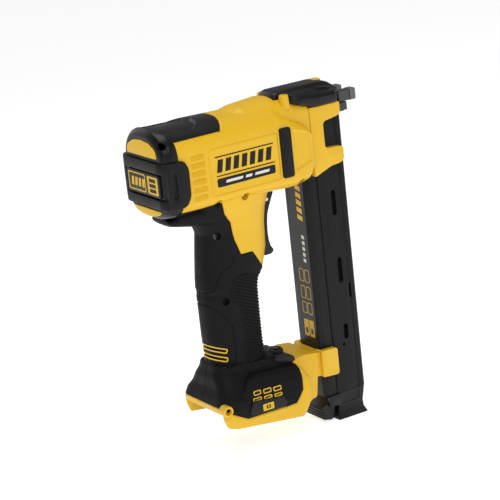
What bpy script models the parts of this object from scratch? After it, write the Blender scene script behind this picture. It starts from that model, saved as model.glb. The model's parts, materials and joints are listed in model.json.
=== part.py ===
"""Cordless brad nailer with a straight magazine, bare tool without its battery.

+X is the drive direction, +Z runs up along the magazine, +Y is the operator's left.
Dimensions are in millimetres. Heights (z) are counted from the front edge of the battery
skirts; the part's origin is the middle of the battery seat, SEAT_HEIGHT above that edge.
"""
import math

import bmesh
import bpy
from mathutils import Matrix

MM = 0.001
SEAT_HEIGHT = 15.0          # battery seat above the front edge of the skirts
GAP = 0.3                   # clearance between touching pieces
FOOT_TILT = -0.0806         # slope of the battery foot, lower at the front
MERGE = 0.004               # points closer than this are one point
FLAT_ANGLE = 0.02           # degrees within which neighbouring faces are one
FAR = 200.0                 # half size of a cutter that has to clear everything

# Barrel (motor and hammer housing)
BARREL_REAR = -66.0         # rear face of the motor cap
CAP_JOINT = -50.6           # seam between motor cap and yellow housing
BARREL_FRONT = 84.0
BARREL_MID = 226.0          # height where the barrel is widest
BARREL_HALF = 33.0
SHELL = 3.0                 # wall thickness of the casings

# Drive line
DRIVE_Z = 246.9             # middle of the driver blade
BLADE_THICK = 1.2
BLADE_HALF = 13.0
ROD_Z = 251.0               # guide rod and drive spring
MOTOR_Z = 222.0
MOTOR_RADIUS = 17.0
LIFTER_X = 56.0
LIFTER_Z = 225.2
LIFTER_RADIUS = 17.0

# Magazine
MAG_HALF = 16.0
MAG_REAR = 75.5
MAG_STEP = 89.5             # seam between the fixed rail and the sliding cover
MAG_FRONT = 119.0
MAG_TOP = 243.0
MAG_BOTTOM = -2.0
SLOT_X = 104.0
SLOT_WIDTH = 4.6
SLOT_SPANS = ((37.5, 58.3), (95.4, 118.5), (156.0, 178.5))

# Trigger, latch
TRIGGER_PIVOT = (41.0, 184.0)
TRIGGER_HALF = 7.6
LATCH_PIVOT = (83.5, -7.0)
LATCH_HALF = 13.5

# Nose
NOSE_HALF = 22.0
PRONG_Y = 10.0

YELLOW = (0.95, 0.62, 0.03)
BLACK = (0.02, 0.02, 0.022)
RUBBER = (0.03, 0.03, 0.032)
STEEL = (0.55, 0.55, 0.57)
DARK_STEEL = (0.10, 0.10, 0.11)
GREEN = (0.03, 0.18, 0.08)
CLEAR = (0.85, 0.88, 0.90)


# ---------------------------------------------------------------- basic tools

def clear_scene():
    """Start from an empty scene."""
    for obj in list(bpy.data.objects):
        bpy.data.objects.remove(obj, do_unlink=True)


def material(name, colour, roughness=0.5, metallic=0.0):
    """A Principled material, made once for each name."""
    found = bpy.data.materials.get(name)
    if found:
        return found
    made = bpy.data.materials.new(name)
    made.use_nodes = True
    shader = made.node_tree.nodes["Principled BSDF"]
    shader.inputs["Base Color"].default_value = (*colour, 1.0)
    shader.inputs["Roughness"].default_value = roughness
    shader.inputs["Metallic"].default_value = metallic
    return made


def mesh_object(name, points, faces):
    """An object from millimetre points; faces are turned to point out."""
    mesh = bpy.data.meshes.new(name)
    mesh.from_pydata(points, [], faces)
    work = bmesh.new()
    work.from_mesh(mesh)
    bmesh.ops.triangulate(work, faces=work.faces[:])
    bmesh.ops.recalc_face_normals(work, faces=work.faces[:])
    work.to_mesh(mesh)
    work.free()
    obj = bpy.data.objects.new(name, mesh)
    bpy.context.collection.objects.link(obj)
    return obj


def loft(name, rings):
    """Skin between rings of equal point count, with flat ends."""
    count = len(rings[0])
    points = [p for ring in rings for p in ring]
    faces = [list(range(count)), list(range(len(points) - count, len(points)))]
    for level in range(len(rings) - 1):
        low = level * count
        high = low + count
        for i in range(count):
            j = (i + 1) % count
            faces.append((low + i, low + j, high + j, high + i))
    return mesh_object(name, points, faces)


def prism(name, outline, axis, low, high):
    """Extrude a flat outline along an axis; the outline holds the other two coordinates."""
    place = {
        "X": lambda a, b, t: (t, a, b),
        "Y": lambda a, b, t: (a, t, b),
        "Z": lambda a, b, t: (a, b, t),
    }[axis]
    return loft(name, [[place(a, b, t) for a, b in outline] for t in (low, high)])


def box(name, x, y, z):
    """A box from its three spans."""
    outline = ((x[0], z[0]), (x[1], z[0]), (x[1], z[1]), (x[0], z[1]))
    return prism(name, outline, "Y", *y)


def circle(a, b, radius, count):
    """Points of a circle around (a, b)."""
    turn = 2 * math.pi / count
    return [(a + radius * math.cos(turn * i), b + radius * math.sin(turn * i)) for i in range(count)]


def rod(name, axis, centre, span, radius, count=16):
    """A cylinder along an axis; centre holds the other two coordinates."""
    return prism(name, circle(*centre, radius, count), axis, *span)


def turned_x(name, centre_yz, profile, count=16):
    """A body turned about an X line; profile holds (x, radius) steps."""
    y, z = centre_yz
    rings = [[(x, a, b) for a, b in circle(y, z, r, count)] for x, r in profile]
    return loft(name, rings)


def stadium(a, low, high, half, steps=4):
    """A slot outline: straight sides along the second coordinate, round ends."""
    turn = math.pi / steps
    top = [(a + half * math.cos(turn * i), high - half + half * math.sin(turn * i)) for i in range(steps + 1)]
    bottom = [(a - half * math.cos(turn * i), low + half - half * math.sin(turn * i)) for i in range(steps + 1)]
    return top + bottom


def rounded_rect(a, b, radius, steps=3):
    """A rectangle outline with rounded corners from two spans."""
    corners = ((a[1], b[1], 0), (a[0], b[1], 1), (a[0], b[0], 2), (a[1], b[0], 3))
    points = []
    for ca, cb, quarter in corners:
        ma = ca - radius if ca == a[1] else ca + radius
        mb = cb - radius if cb == b[1] else cb + radius
        for i in range(steps + 1):
            angle = math.pi / 2 * (quarter + i / steps)
            points.append((ma + radius * math.cos(angle), mb + radius * math.sin(angle)))
    return points


def combine(target, other, operation):
    """Boolean the other object into the target at once; the other is used up.

    The casings need long chains of cuts, which only the Manifold solver leaves closed.
    """
    step = target.modifiers.new(operation.lower(), "BOOLEAN")
    step.operation = operation
    step.solver = "MANIFOLD"
    step.object = other
    bpy.context.view_layer.update()
    done = bpy.data.meshes.new_from_object(target.evaluated_get(bpy.context.evaluated_depsgraph_get()))
    target.modifiers.remove(step)
    target.data = done
    bpy.data.objects.remove(other, do_unlink=True)
    return target


def cut(target, *others):
    """Take the others away from the target."""
    for other in others:
        combine(target, other, "DIFFERENCE")
    return target


def join(target, *others):
    """Fuse the others into the target."""
    for other in others:
        combine(target, other, "UNION")
    return target


def common(target, other):
    """Keep what both objects share."""
    return combine(target, other, "INTERSECT")


def copy(obj, name):
    """A second object with its own mesh."""
    made = obj.copy()
    made.data = obj.data.copy()
    made.name = name
    bpy.context.collection.objects.link(made)
    return made


def clean(obj):
    """Merge flat neighbours left by the cuts and drop loose slivers."""
    work = bmesh.new()
    work.from_mesh(obj.data)
    bmesh.ops.remove_doubles(work, verts=work.verts[:], dist=MERGE)
    bmesh.ops.dissolve_degenerate(work, edges=work.edges[:], dist=MERGE)
    bmesh.ops.dissolve_limit(work, verts=work.verts[:], edges=work.edges[:], angle_limit=math.radians(FLAT_ANGLE))
    bmesh.ops.triangulate(work, faces=work.faces[:])
    left = set(work.verts)
    bodies = []
    while left:
        grown = [left.pop()]
        for vert in grown:
            fresh = {edge.other_vert(vert) for edge in vert.link_edges} & left
            left -= fresh
            grown.extend(fresh)
        bodies.append(grown)
    for loose in sorted(bodies, key=len)[:-1]:
        bmesh.ops.delete(work, geom=loose, context="VERTS")
    work.to_mesh(obj.data)
    work.free()


def finish(obj, paint, sharp=35):
    """Bring a finished sub-part to metres and to its origin, with its material and shading."""
    obj.data.transform(Matrix.Scale(MM, 4) @ Matrix.Translation((0.0, 0.0, -SEAT_HEIGHT)))
    obj.data.materials.clear()
    obj.data.materials.append(paint)
    obj.data.shade_smooth()
    obj.data.set_sharp_from_angle(angle=math.radians(sharp))
    return obj


def yellow():
    return material("yellow_shell", YELLOW, 0.38)


def black():
    return material("black_shell", BLACK, 0.42)


def rubber():
    return material("black_rubber", RUBBER, 0.7)


def steel():
    return material("bright_steel", STEEL, 0.3, 1.0)


def dark_steel():
    return material("black_steel", DARK_STEEL, 0.45, 0.8)


# ---------------------------------------------------------------- outer forms

def oval(count, half_a, half_b, power_up, power_down):
    """Half-height fractions of a rounded section: fuller below than above."""
    points = []
    for i in range(count):
        angle = 2 * math.pi * i / count
        power = 2 / (power_up if math.sin(angle) >= 0 else power_down)
        a = math.copysign(abs(math.cos(angle)) ** power, math.cos(angle))
        b = math.copysign(abs(math.sin(angle)) ** power, math.sin(angle))
        points.append((half_a * a, half_b * b))
    return points


BARREL_STATIONS = (         # x, half width, bottom, top
    (-66.0, 29.5, 192.5, 264.5),
    (-64.0, 31.5, 190.5, 266.5),
    (-55.0, 33.0, 190.5, 267.0),
    (-40.0, 33.0, 193.0, 265.5),
    (14.0, 33.0, 192.5, 264.5),
    (24.0, 33.0, 192.0, 267.0),
    (50.0, 33.0, 190.5, 269.5),
    (70.0, 33.0, 189.5, 268.5),
    (79.0, 31.5, 190.5, 267.0),
    (BARREL_FRONT, 28.5, 194.0, 264.0),
)


def barrel_form(name, inset=0.0, shorten=0.0):
    """The long rounded barrel, made smaller all round by an inset."""
    rings = []
    for x, half, bottom, top in BARREL_STATIONS:
        shape = oval(24, half - inset, 1.0, 2.2, 3.6)
        up = top - BARREL_MID - inset
        down = BARREL_MID - bottom - inset
        at = min(max(x, BARREL_REAR + shorten), BARREL_FRONT - shorten)
        rings.append([(at, a, BARREL_MID + b * (up if b > 0 else down)) for a, b in shape])
    return loft(name, [ring for i, ring in enumerate(rings) if i == 0 or ring[0][0] > rings[i - 1][0][0]])


HANDLE_STATIONS = (         # z, rear, front, half width
    (30.0, -31.0, 27.0, 21.0),
    (52.0, -31.5, 25.5, 20.5),
    (63.0, -30.3, 24.2, 20.0),
    (78.0, -31.4, 24.4, 20.0),
    (96.0, -30.7, 24.6, 20.2),
    (118.0, -30.7, 25.6, 20.5),
    (128.0, -29.8, 32.0, 20.6),
    (146.0, -27.4, 37.0, 20.8),
    (167.0, -24.7, 38.0, 21.5),
    (180.0, -28.0, 40.0, 23.5),
    (190.0, -38.0, 44.0, 26.5),
    (200.0, -42.0, 48.0, 28.0),
)


def handle_form(name, inset=0.0):
    """The pistol grip, from inside the foot up into the barrel."""
    rings = []
    for z, rear, front, half in HANDLE_STATIONS:
        middle = (rear + front) / 2
        reach = (front - rear) / 2 - inset
        rings.append([(middle + a, b, z) for a, b in oval(20, reach, half - inset, 2.3, 2.3)])
    return loft(name, rings)


FOOT_STATIONS = (           # height above the skirt edge, rear, front, half width, corner radius
    (2.5, -32.5, 45.0, 36.5, 6.0),
    (9.5, -36.0, 51.0, 37.5, 6.0),
    (19.0, -40.0, 55.0, 38.0, 7.0),
    (30.0, -38.5, 55.0, 36.0, 9.0),
    (40.0, -34.5, 49.0, 30.0, 12.0),
    (47.0, -32.5, 40.0, 24.0, 14.0),
    (53.0, -31.3, 30.0, 21.0, 14.0),
)


def foot_form(name, inset=0.0):
    """The battery foot, tilted a little down to the front; an inset also lowers its top."""
    rings = []
    for height, rear, front, half, radius in FOOT_STATIONS:
        side = half - inset
        if height == FOOT_STATIONS[-1][0]:
            height -= min(inset, 4.0)
        shape = rounded_rect((rear + inset, front - inset), (-side, side), max(radius - inset, 2.0), 4)
        rings.append([(a, b, height + FOOT_TILT * a) for a, b in shape])
    return loft(name, rings)


def neck_outline(grow=0.0):
    """Side outline of the yellow neck in front of the rubber grip."""
    g = grow
    return (
        (-9.5 - g, 196.0), (-8.4 - g, 185.7), (-2.7 - g, 176.6), (0.2 - g, 160.4), (5.0 - g, 146.9 - g),
        (16.6, 146.4 - g), (26.0 - g, 132.7 - g), (33.0, 126.5 - g), (60.0, 126.5 - g), (60.0, 196.0),
    )


def cover_outline(shift=0.0):
    """Side outline of the black foot cover above the yellow skirt."""
    s = shift
    return (
        (-60.0, 19.6 + s), (-39.5, 19.3 + s), (-16.0, 11.0 + s), (19.0, 11.0 + s), (25.6, 14.4 + s),
        (41.0 - s, 31.5), (32.0 - s, 52.0), (32.0 - s, 70.0), (-60.0, 70.0),
    )


def cap_region(name, grow=0.0):
    """The space of the black motor cap: everything behind the seam and a tongue along the top."""
    region = box(name, (-FAR, CAP_JOINT + grow), (-FAR, FAR), (100.0, 300.0))
    tip = [(-60.0, -40.0), (-13.0 + grow, -40.0)]
    for i in range(9):
        y = -33.0 + 66.0 * i / 8
        tip.append((-1.0 + grow - 12.0 * (y / 33.0) ** 2, y))
    tip += [(-13.0 + grow, 40.0), (-60.0, 40.0)]
    tongue = prism(name + "_tongue", tip, "Z", 255.8 - grow, 300.0)
    return join(region, tongue)


def half_space(name, side):
    """A big block on one side of the middle plane, just clear of it."""
    span = (GAP / 2, FAR) if side > 0 else (-FAR, -GAP / 2)
    return box(name, (-FAR, FAR), span, (-FAR, 2 * FAR))


# ---------------------------------------------------------------- casings

SCREWS = {                  # name: x, z of the screws through the casings
    "barrel_screw_rear": (-17.0, 197.0),
    "barrel_screw_middle": (10.0, 197.0),
    "barrel_screw_front": (66.0, 196.5),
    "grip_screw_upper": (-14.5, 166.3),
    "grip_screw_lower": (-13.5, 109.5),
}
SCREW_HEAD = 3.0
SCREW_SHANK = 1.4
SCREW_HEAD_Y = {"barrel": -24.5, "grip": -15.5}
SCREW_TIP_Y = 9.0


def screw_y(name):
    """Depth of a screw's head face."""
    return SCREW_HEAD_Y[name.split("_")[0]]


def casing_core():
    """Both yellow housing halves as one hollow body."""
    core = barrel_form("core")
    join(core, common(handle_form("neck"), prism("neck_region", neck_outline(), "Y", -FAR, FAR)))
    join(core, handle_form("inner", SHELL + GAP))
    join(core, common(foot_form("foot"), skirt_region("skirt_region")))
    join(core, foot_form("foot_inner", SHELL + GAP))
    solid = copy(core, "casing_solid")
    cut(core, barrel_form("hollow", SHELL, SHELL), cap_region("cap_space", GAP))
    cut(core, handle_hollow(), foot_hollow(), battery_slot(), magazine_space())
    return core, solid


def skirt_region(name):
    """The space of the yellow skirts and foot front, below and ahead of the rubber cover."""
    region = box(name, (-FAR, FAR), (-FAR, FAR), (-20.0, 70.0))
    return cut(region, prism("cover_space", cover_outline(-GAP), "Y", -FAR, FAR))


def handle_hollow():
    """Room inside the grip for the switch and wires, open into barrel and foot."""
    hollow = handle_form("handle_hollow", 2 * SHELL + GAP)
    return common(hollow, box("handle_span", (-FAR, 36.0), (-FAR, FAR), (31.0, 205.0)))


def foot_hollow():
    """Room above the battery seat for the control board."""
    return common(foot_form("foot_hollow", 2 * SHELL + GAP), box("board_space", (-FAR, FAR), (-FAR, FAR), (22.0, 36.0)))


def battery_slot():
    """The slide-in space between the skirts, open below and at the rear."""
    outline = ((-70.0, -20.0), (28.0, -20.0), (28.0, 12.7), (-70.0, 20.6))
    return prism("battery_slot", outline, "Y", -29.5, 29.5)


def magazine_space():
    """Clearance for the magazine head in the front of the barrel."""
    return box("magazine_space", (MAG_REAR - GAP, FAR), (-MAG_HALF - GAP, MAG_HALF + GAP), (150.0, 260.0))


def screw_bosses(core, solid):
    """A boss for each casing screw, joined to both side walls, with its stepped hole."""
    for name, (x, z) in SCREWS.items():
        head = screw_y(name)
        boss = rod("boss", "Y", (x, z), (head + 0.6, -head - 0.6), 5.0, 12)
        join(core, common(boss, copy(solid, "solid")))
        cut(core, rod("shank_hole", "Y", (x, z), (head - 40.0, SCREW_TIP_Y + 0.6), SCREW_SHANK + GAP, 8))
        cut(core, rod("head_hole", "Y", (x, z), (head - 40.0, head + 2.6), SCREW_HEAD + GAP, 12))


def housing():
    """Right and left yellow housing halves."""
    core, solid = casing_core()
    cut(core, box("trigger_slot", (27.0, 60.0), (-8.2, 8.2), (127.0, 189.5)))
    cut(core, box("cover_recess", (55.6, FAR), (-12.5, 12.5), (265.6, 300.0)))
    cut(core, box("terminal_pocket", (-22.5, 22.5), (-20.3, 20.3), (8.0, 24.0)))
    screw_bosses(core, solid)
    bpy.data.objects.remove(solid, do_unlink=True)
    cut(core, rod("pin_hole", "Y", TRIGGER_PIVOT, (-11.0, 11.0), 1.9, 8))
    for name, side in (("housing_right", -1), ("housing_left", 1)):
        half = common(copy(core, name), half_space("half", side))
        clean(half)
        finish(half, yellow())
    bpy.data.objects.remove(core, do_unlink=True)


def grips():
    """Right and left rubber overmould of grip, beavertail and foot."""
    sleeve = handle_form("sleeve")
    tail = loft("tail", [
        [(x, a, 187.5 + b * (10.0 if b > 0 else drop)) for a, b in oval(20, half, 1.0, 3.0, 2.4)]
        for x, half, drop in ((-50.0, 17.0, 1.5), (-40.0, 20.0, 7.0), (-30.0, 21.0, 10.5), (-8.0, 21.0, 14.0))
    ])
    join(sleeve, tail)
    cover = common(foot_form("cover"), prism("cover_region", cover_outline(), "Y", -FAR, FAR))
    join(sleeve, cover)
    cut(sleeve, prism("neck_space", neck_outline(GAP), "Y", -FAR, FAR))
    cut(sleeve, handle_form("inner_space", SHELL), foot_form("foot_space", SHELL))
    cut(sleeve, barrel_form("barrel_space", -GAP), prism("above", ((-80.0, 198.0), (80.0, 198.0), (80.0, 260.0), (-80.0, 260.0)), "Y", -FAR, FAR))
    cut(sleeve, box("below_cover", (-60.0, 60.0), (-29.5, 29.5), (-10.0, 16.0)))
    for name, (x, z) in SCREWS.items():
        cut(sleeve, rod("head_hole", "Y", (x, z), (-60.0, screw_y(name) + 2.6), SCREW_HEAD + GAP, 12))
        cut(sleeve, rod("shank_hole", "Y", (x, z), (-60.0, SCREW_TIP_Y + 0.6), SCREW_SHANK + GAP, 8))
    for name, side in (("grip_right", -1), ("grip_left", 1)):
        half = common(copy(sleeve, name), half_space("half", side))
        clean(half)
        finish(half, rubber())
    bpy.data.objects.remove(sleeve, do_unlink=True)


def rear_cap():
    """Black motor cap with its tongue along the top."""
    cap = common(barrel_form("rear_cap"), cap_region("cap_region"))
    cut(cap, barrel_form("cap_hollow", SHELL, SHELL))
    finish(cap, black())


def rear_trim():
    """Rubber bands, badge plate and yellow inlays on the rear face, and the two side pads."""
    face = BARREL_REAR - GAP
    for name, low, high in (("rear_bumper_upper", 233.0, 241.0), ("rear_bumper_lower", 202.5, 210.5)):
        outline = rounded_rect((-26.0, 26.0), (low, high), 2.5)
        finish(prism(name, outline, "X", face - 3.0, face), rubber())
    badge = prism("rear_badge", rounded_rect((-22.0, 22.0), (212.5, 230.5), 1.5), "X", face - 1.5, face)
    finish(badge, black())
    upper = ((-23.5, 245.5), (23.5, 245.5), (19.0, 255.5), (10.0, 259.0), (-10.0, 259.0), (-19.0, 255.5))
    finish(prism("rear_inlay_upper", upper, "X", face - 1.0, face), yellow())
    lower = ((-21.0, 200.0), (21.0, 200.0), (16.0, 196.0), (8.0, 194.5), (-8.0, 194.5), (-16.0, 196.0))
    finish(prism("rear_inlay_lower", lower, "X", face - 1.0, face), yellow())
    for name, side in (("rear_pad_right", -1), ("rear_pad_left", 1)):
        near, far = sorted((side * (BARREL_HALF + GAP), side * (BARREL_HALF + 2.3)))
        outline = rounded_rect((-54.0, -45.5), (204.0, 241.0), 2.0)
        finish(prism(name, outline, "Y", near, far), rubber())


def side_bumpers():
    """Vertical black bars on the barrel's sides."""
    for name, side in (("side_bumper_right", -1), ("side_bumper_left", 1)):
        near, far = sorted((side * (BARREL_HALF + GAP), side * (BARREL_HALF + 2.0)))
        outline = rounded_rect((45.3, 56.0), (205.0, 246.0), 2.0)
        finish(prism(name, outline, "Y", near, far), rubber())


# ---------------------------------------------------------------- nose

def nose_frame():
    """Yellow frame that wraps the magazine head, with its window."""
    outline = (
        (BARREL_FRONT + GAP, 196.0), (94.0, 199.0), (111.0, 201.5), (115.6, 204.0), (115.6, 216.0),
        (97.0, 217.0), (97.0, 241.0), (115.0, 243.5), (115.0, 254.7), (BARREL_FRONT + GAP, 254.7),
    )
    frame = prism("nose_frame", outline, "Y", -NOSE_HALF, NOSE_HALF)
    inner = (-MAG_HALF - GAP, MAG_HALF + GAP)
    cut(frame, box("magazine_channel", (80.0, 130.0), inner, (150.0, 260.0)))
    tie = box("tie", (BARREL_FRONT + GAP, 95.0), (-NOSE_HALF + 1, NOSE_HALF - 1), (251.6, 254.7))
    join(frame, tie)
    finish(frame, yellow())


def nose():
    """Nose frame, guards, top cover and nosepiece."""
    nose_frame()
    for name, side in (("nose_guard_right", -1), ("nose_guard_left", 1)):
        rings = []
        for x, out, low, high in ((85.0, 26.0, 255.2, 265.5), (96.0, 28.0, 255.2, 267.0),
                                  (109.0, 25.0, 255.2, 265.0), (112.0, 21.0, 255.2, 262.0)):
            ys = (12.6, out - 1.5, out, out, out - 5.0, 12.6)
            zs = (low, low, low + 2.0, high - 4.5, high, high)
            rings.append([(x, side * y, z) for y, z in zip(ys, zs)])
        finish(loft(name, rings), black())
    cover = loft("top_cover", [
        [(x, a, z) for a, z in ((-12.0, low), (12.0, low), (12.0, high - 2.0), (8.0, high), (-8.0, high), (-12.0, high - 2.0))]
        for x, low, high in ((56.0, 266.0, 269.8), (60.0, 266.0, 272.0), (84.5, 266.0, 272.0), (84.6, 262.2, 272.0),
                             (108.0, 262.2, 271.0), (119.5, 262.2, 265.5))
    ])
    finish(cover, black())
    piece = box("nosepiece", (97.3, 124.0), (-15.6, 15.6), (243.6, 250.7))
    for y in (-PRONG_Y, PRONG_Y):
        join(piece, box("lower_prong", (123.0, 128.0), (y - 4.0, y + 4.0), (243.6, 250.7)))
    slot = (DRIVE_Z - BLADE_THICK / 2 - GAP, DRIVE_Z + BLADE_THICK / 2 + GAP)
    cut(piece, box("blade_slot", (90.0, 140.0), (-BLADE_HALF - 0.6, BLADE_HALF + 0.6), slot))
    cut(piece, box("staple_entry", (90.0, 115.0), (-BLADE_HALF - 0.6, BLADE_HALF + 0.6), (240.0, DRIVE_Z)))
    finish(piece, dark_steel())


def contact_trip():
    """Sliding contact trip: two prongs, a bridge and a shank, with soft tips and a spring."""
    trip = box("contact_trip", (98.0, 122.0), (-12.2, 12.2), (255.3, 259.0))
    for y in (-PRONG_Y, PRONG_Y):
        join(trip, box("prong", (120.5, 132.0), (y - 4.0, y + 4.0), (251.2, 260.4)))
    finish(trip, dark_steel())
    finish(helix("contact_trip_spring", "X", (0.0, 258.4), (84.6, 97.7), 2.4, 0.45, 6), steel())
    for name, y in (("trip_tip_right", -PRONG_Y), ("trip_tip_left", PRONG_Y)):
        outline = rounded_rect((y - 4.4, y + 4.4), (250.9, 260.7), 1.0, 2)
        finish(prism(name, outline, "X", 132.0 + GAP, 137.7), material("pale_pad", (0.45, 0.45, 0.46), 0.6))


# ---------------------------------------------------------------- magazine

def magazine_rail():
    """Fixed rear track of the magazine: a channel open to the front."""
    rail = box("magazine_rail", (MAG_REAR, MAG_STEP - GAP), (-MAG_HALF, MAG_HALF), (MAG_BOTTOM, MAG_TOP + 1.5))
    cut(rail, box("rail_channel", (MAG_REAR + 3.0, 100.0), (-MAG_HALF + 2.5, MAG_HALF - 2.5), (-20.0, 260.0)))
    finish(rail, dark_steel())


def magazine_cover():
    """Sliding front cover with its viewing slots and the opening for the staples."""
    cover = box("magazine_cover", (MAG_STEP, MAG_FRONT), (-MAG_HALF, MAG_HALF), (MAG_BOTTOM, MAG_TOP))
    cut(cover, box("cover_channel", (MAG_STEP - 10.0, MAG_FRONT - 2.0), (-MAG_HALF + 1.8, MAG_HALF - 1.8), (-20.0, 260.0)))
    for low, high in SLOT_SPANS:
        cut(cover, prism("slot", stadium(SLOT_X, low, high, SLOT_WIDTH / 2), "Y", -30.0, 30.0))
    finish(cover, dark_steel())
    foot = loft("magazine_foot", [
        [(x0, -half, z), (x1, -half, z), (x1, half, z), (x0, half, z)]
        for x0, x1, half, z in ((87.0, 117.0, 17.5, -26.0), (88.5, 115.5, 16.5, -18.0), (90.0, 116.5, 15.5, -8.0),
                                (90.0, 117.0, 15.5, MAG_BOTTOM - GAP))
    ])
    for side in (-1, 1):
        ear = [(x, side * y) for x, y in ((80.0, 14.2), (92.0, 14.2), (92.0, 16.8), (80.0, 16.8))]
        join(foot, prism("ear", ear, "Z", -12.0, -3.0))
    cut(foot, rod("latch_pin_hole", "Y", LATCH_PIVOT, (-20.0, 20.0), 1.8, 8))
    finish(foot, black())


def magazine_core():
    """Staple track inside the cover, the pusher that rides on it and its spring."""
    track = box("staple_track", (97.0, 113.0), (-9.5, 9.5), (-1.5, 240.0))
    cut(track, box("spring_groove", (90.0, 106.5), (-6.0, 6.0), (3.0, 260.0)))
    finish(track, steel())
    pusher = box("pusher", (91.0, 116.6), (-13.9, 13.9), (212.0, 226.0))
    cut(pusher, box("track_space", (96.7, 113.3), (-9.8, 9.8), (200.0, 240.0)))
    join(pusher, box("tongue", (95.0, 106.2), (-5.6, 5.6), (212.0, 216.0)))
    finish(pusher, black())
    finish(helix("pusher_spring", "Z", (101.5, 0.0), (3.4, 211.6), 3.6, 0.7, 18), steel())


def magazine_latch():
    """Ribbed latch lever below the rail, on its pin."""
    outline = ((73.5, -23.0), (82.0, -25.0), (86.4, -23.0), (86.4, -5.0), (81.0, -3.2), (77.5, -10.0), (73.5, -12.0))
    latch = prism("magazine_latch", outline, "Y", -LATCH_HALF, LATCH_HALF)
    for i in range(3):
        z = -21.5 + 3.4 * i
        cut(latch, box("rib_gap", (70.0, 74.7), (-20.0, 20.0), (z, z + 1.4)))
    cut(latch, rod("pin_hole", "Y", LATCH_PIVOT, (-20.0, 20.0), 1.8, 8))
    finish(latch, black())
    finish(rod("latch_pin", "Y", LATCH_PIVOT, (-LATCH_HALF - 3.0, LATCH_HALF + 3.0), 1.5, 10), steel())


def bracket():
    """Yellow bracket from the foot to the magazine, clamping the rail."""
    arm = prism("magazine_bracket", ((40.0, 10.0), (46.0, 1.0), (64.0, 5.0), (69.0, 23.0), (74.0, 20.0), (89.0, 20.0),
                                     (89.0, 42.5), (74.0, 44.5), (56.0, 47.5), (40.0, 41.0)), "Y", -21.0, 21.0)
    rail_space = box("rail_space", (MAG_REAR - GAP, 130.0), (-MAG_HALF - GAP, MAG_HALF + GAP), (-20.0, 80.0))
    lamp_space = rod("lamp_space", "Z", (40.5, 0.0), (30.0, 80.0), 15.3, 20)
    cut(arm, rail_space, foot_form("foot_space", -GAP), lamp_space)
    finish(arm, yellow())


# ---------------------------------------------------------------- trigger

def trigger():
    """Curved trigger lever on its pin, with the switch and return spring behind it."""
    outline = (
        (44.5, 187.0), (47.5, 183.5), (45.0, 178.0), (41.2, 171.0), (39.6, 160.0), (39.2, 150.0), (40.0, 143.5),
        (41.8, 138.2), (34.3, 137.6), (33.6, 150.0), (33.8, 168.0), (37.0, 180.0), (39.0, 186.5),
    )
    lever = prism("trigger", outline, "Y", -TRIGGER_HALF, TRIGGER_HALF)
    cut(lever, rod("pin_hole", "Y", TRIGGER_PIVOT, (-14.0, 14.0), 1.8, 10))
    finish(lever, black())
    finish(rod("trigger_pin", "Y", TRIGGER_PIVOT, (-10.5, 10.5), 1.5, 10), steel())
    finish(box("trigger_switch", (2.0, 23.0), (-7.5, 7.5), (138.0, 168.0)), black())
    finish(helix("trigger_spring", "X", (0.0, 158.0), (23.4, 33.2), 2.4, 0.45, 5), steel())


def helix(name, axis, centre, span, radius, wire, turns):
    """A round-wire spring between two ends of a line."""
    per_turn = 8
    sides = 4
    total = turns * per_turn
    place = {"X": lambda t, a, b: (t, a, b), "Z": lambda t, a, b: (a, b, t)}[axis]
    rings = []
    start = span[0] + wire
    reach = span[1] - span[0] - 2 * wire
    for i in range(total + 1):
        angle = 2 * math.pi * i / per_turn
        ring = []
        for k in range(sides):
            turn = 2 * math.pi * k / sides
            out = radius + wire * math.cos(turn)
            along = start + reach * i / total + wire * math.sin(turn)
            ring.append(place(along, centre[0] + out * math.cos(angle), centre[1] + out * math.sin(angle)))
        rings.append(ring)
    return loft(name, rings)


# ---------------------------------------------------------------- foot fittings

def foot_fittings():
    """Lamp, indicator panel, control board, terminal block and blades."""
    hood = turned_z("lamp_hood", (40.5, 0.0), ((35.5, 15.0), (42.0, 15.0), (47.0, 12.0), (49.5, 8.5)))
    cut(hood, foot_form("foot_space", -GAP), rod("lens_seat", "Z", (43.0, 0.0), (47.5, 60.0), 5.8, 16))
    finish(hood, black())
    lens = rod("lamp_lens", "Z", (43.0, 0.0), (47.8, 49.8), 5.5, 16)
    finish(lens, material("clear_lens", CLEAR, 0.08))
    panel = prism("indicator_panel", rounded_rect((-27.0, 19.0), (12.5, 22.0), 2.0), "Y", -39.2, -38.0 - GAP)
    finish(panel, black())
    finish(box("control_board", (-20.0, 26.0), (-24.0, 24.0), (25.5, 27.1)), material("board", GREEN, 0.4))
    block = tilted_box("terminal_block", (-22.0, 22.0), (-20.0, 20.0), 0.0, 4.0)
    finish(block, black())
    for name, y in (("terminal_blade_positive", -11.0), ("terminal_blade_negative", 11.0)):
        finish(tilted_box(name, (-21.0, -4.0), (y - 0.5, y + 0.5), -7.0, -GAP), steel())


def tilted_box(name, x, y, low, high):
    """A box parallel to the battery seat, with heights counted from the seat plane."""
    outline = [(a, SEAT_HEIGHT + FOOT_TILT * a + h) for a, h in ((x[0], low), (x[1], low), (x[1], high), (x[0], high))]
    return prism(name, outline, "Y", *y)


def turned_z(name, centre, profile, count=20):
    """A body turned about a vertical line; profile holds (z, radius) steps."""
    return loft(name, [[(a, b, z) for a, b in circle(*centre, r, count)] for z, r in profile])


# ---------------------------------------------------------------- power train

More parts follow.
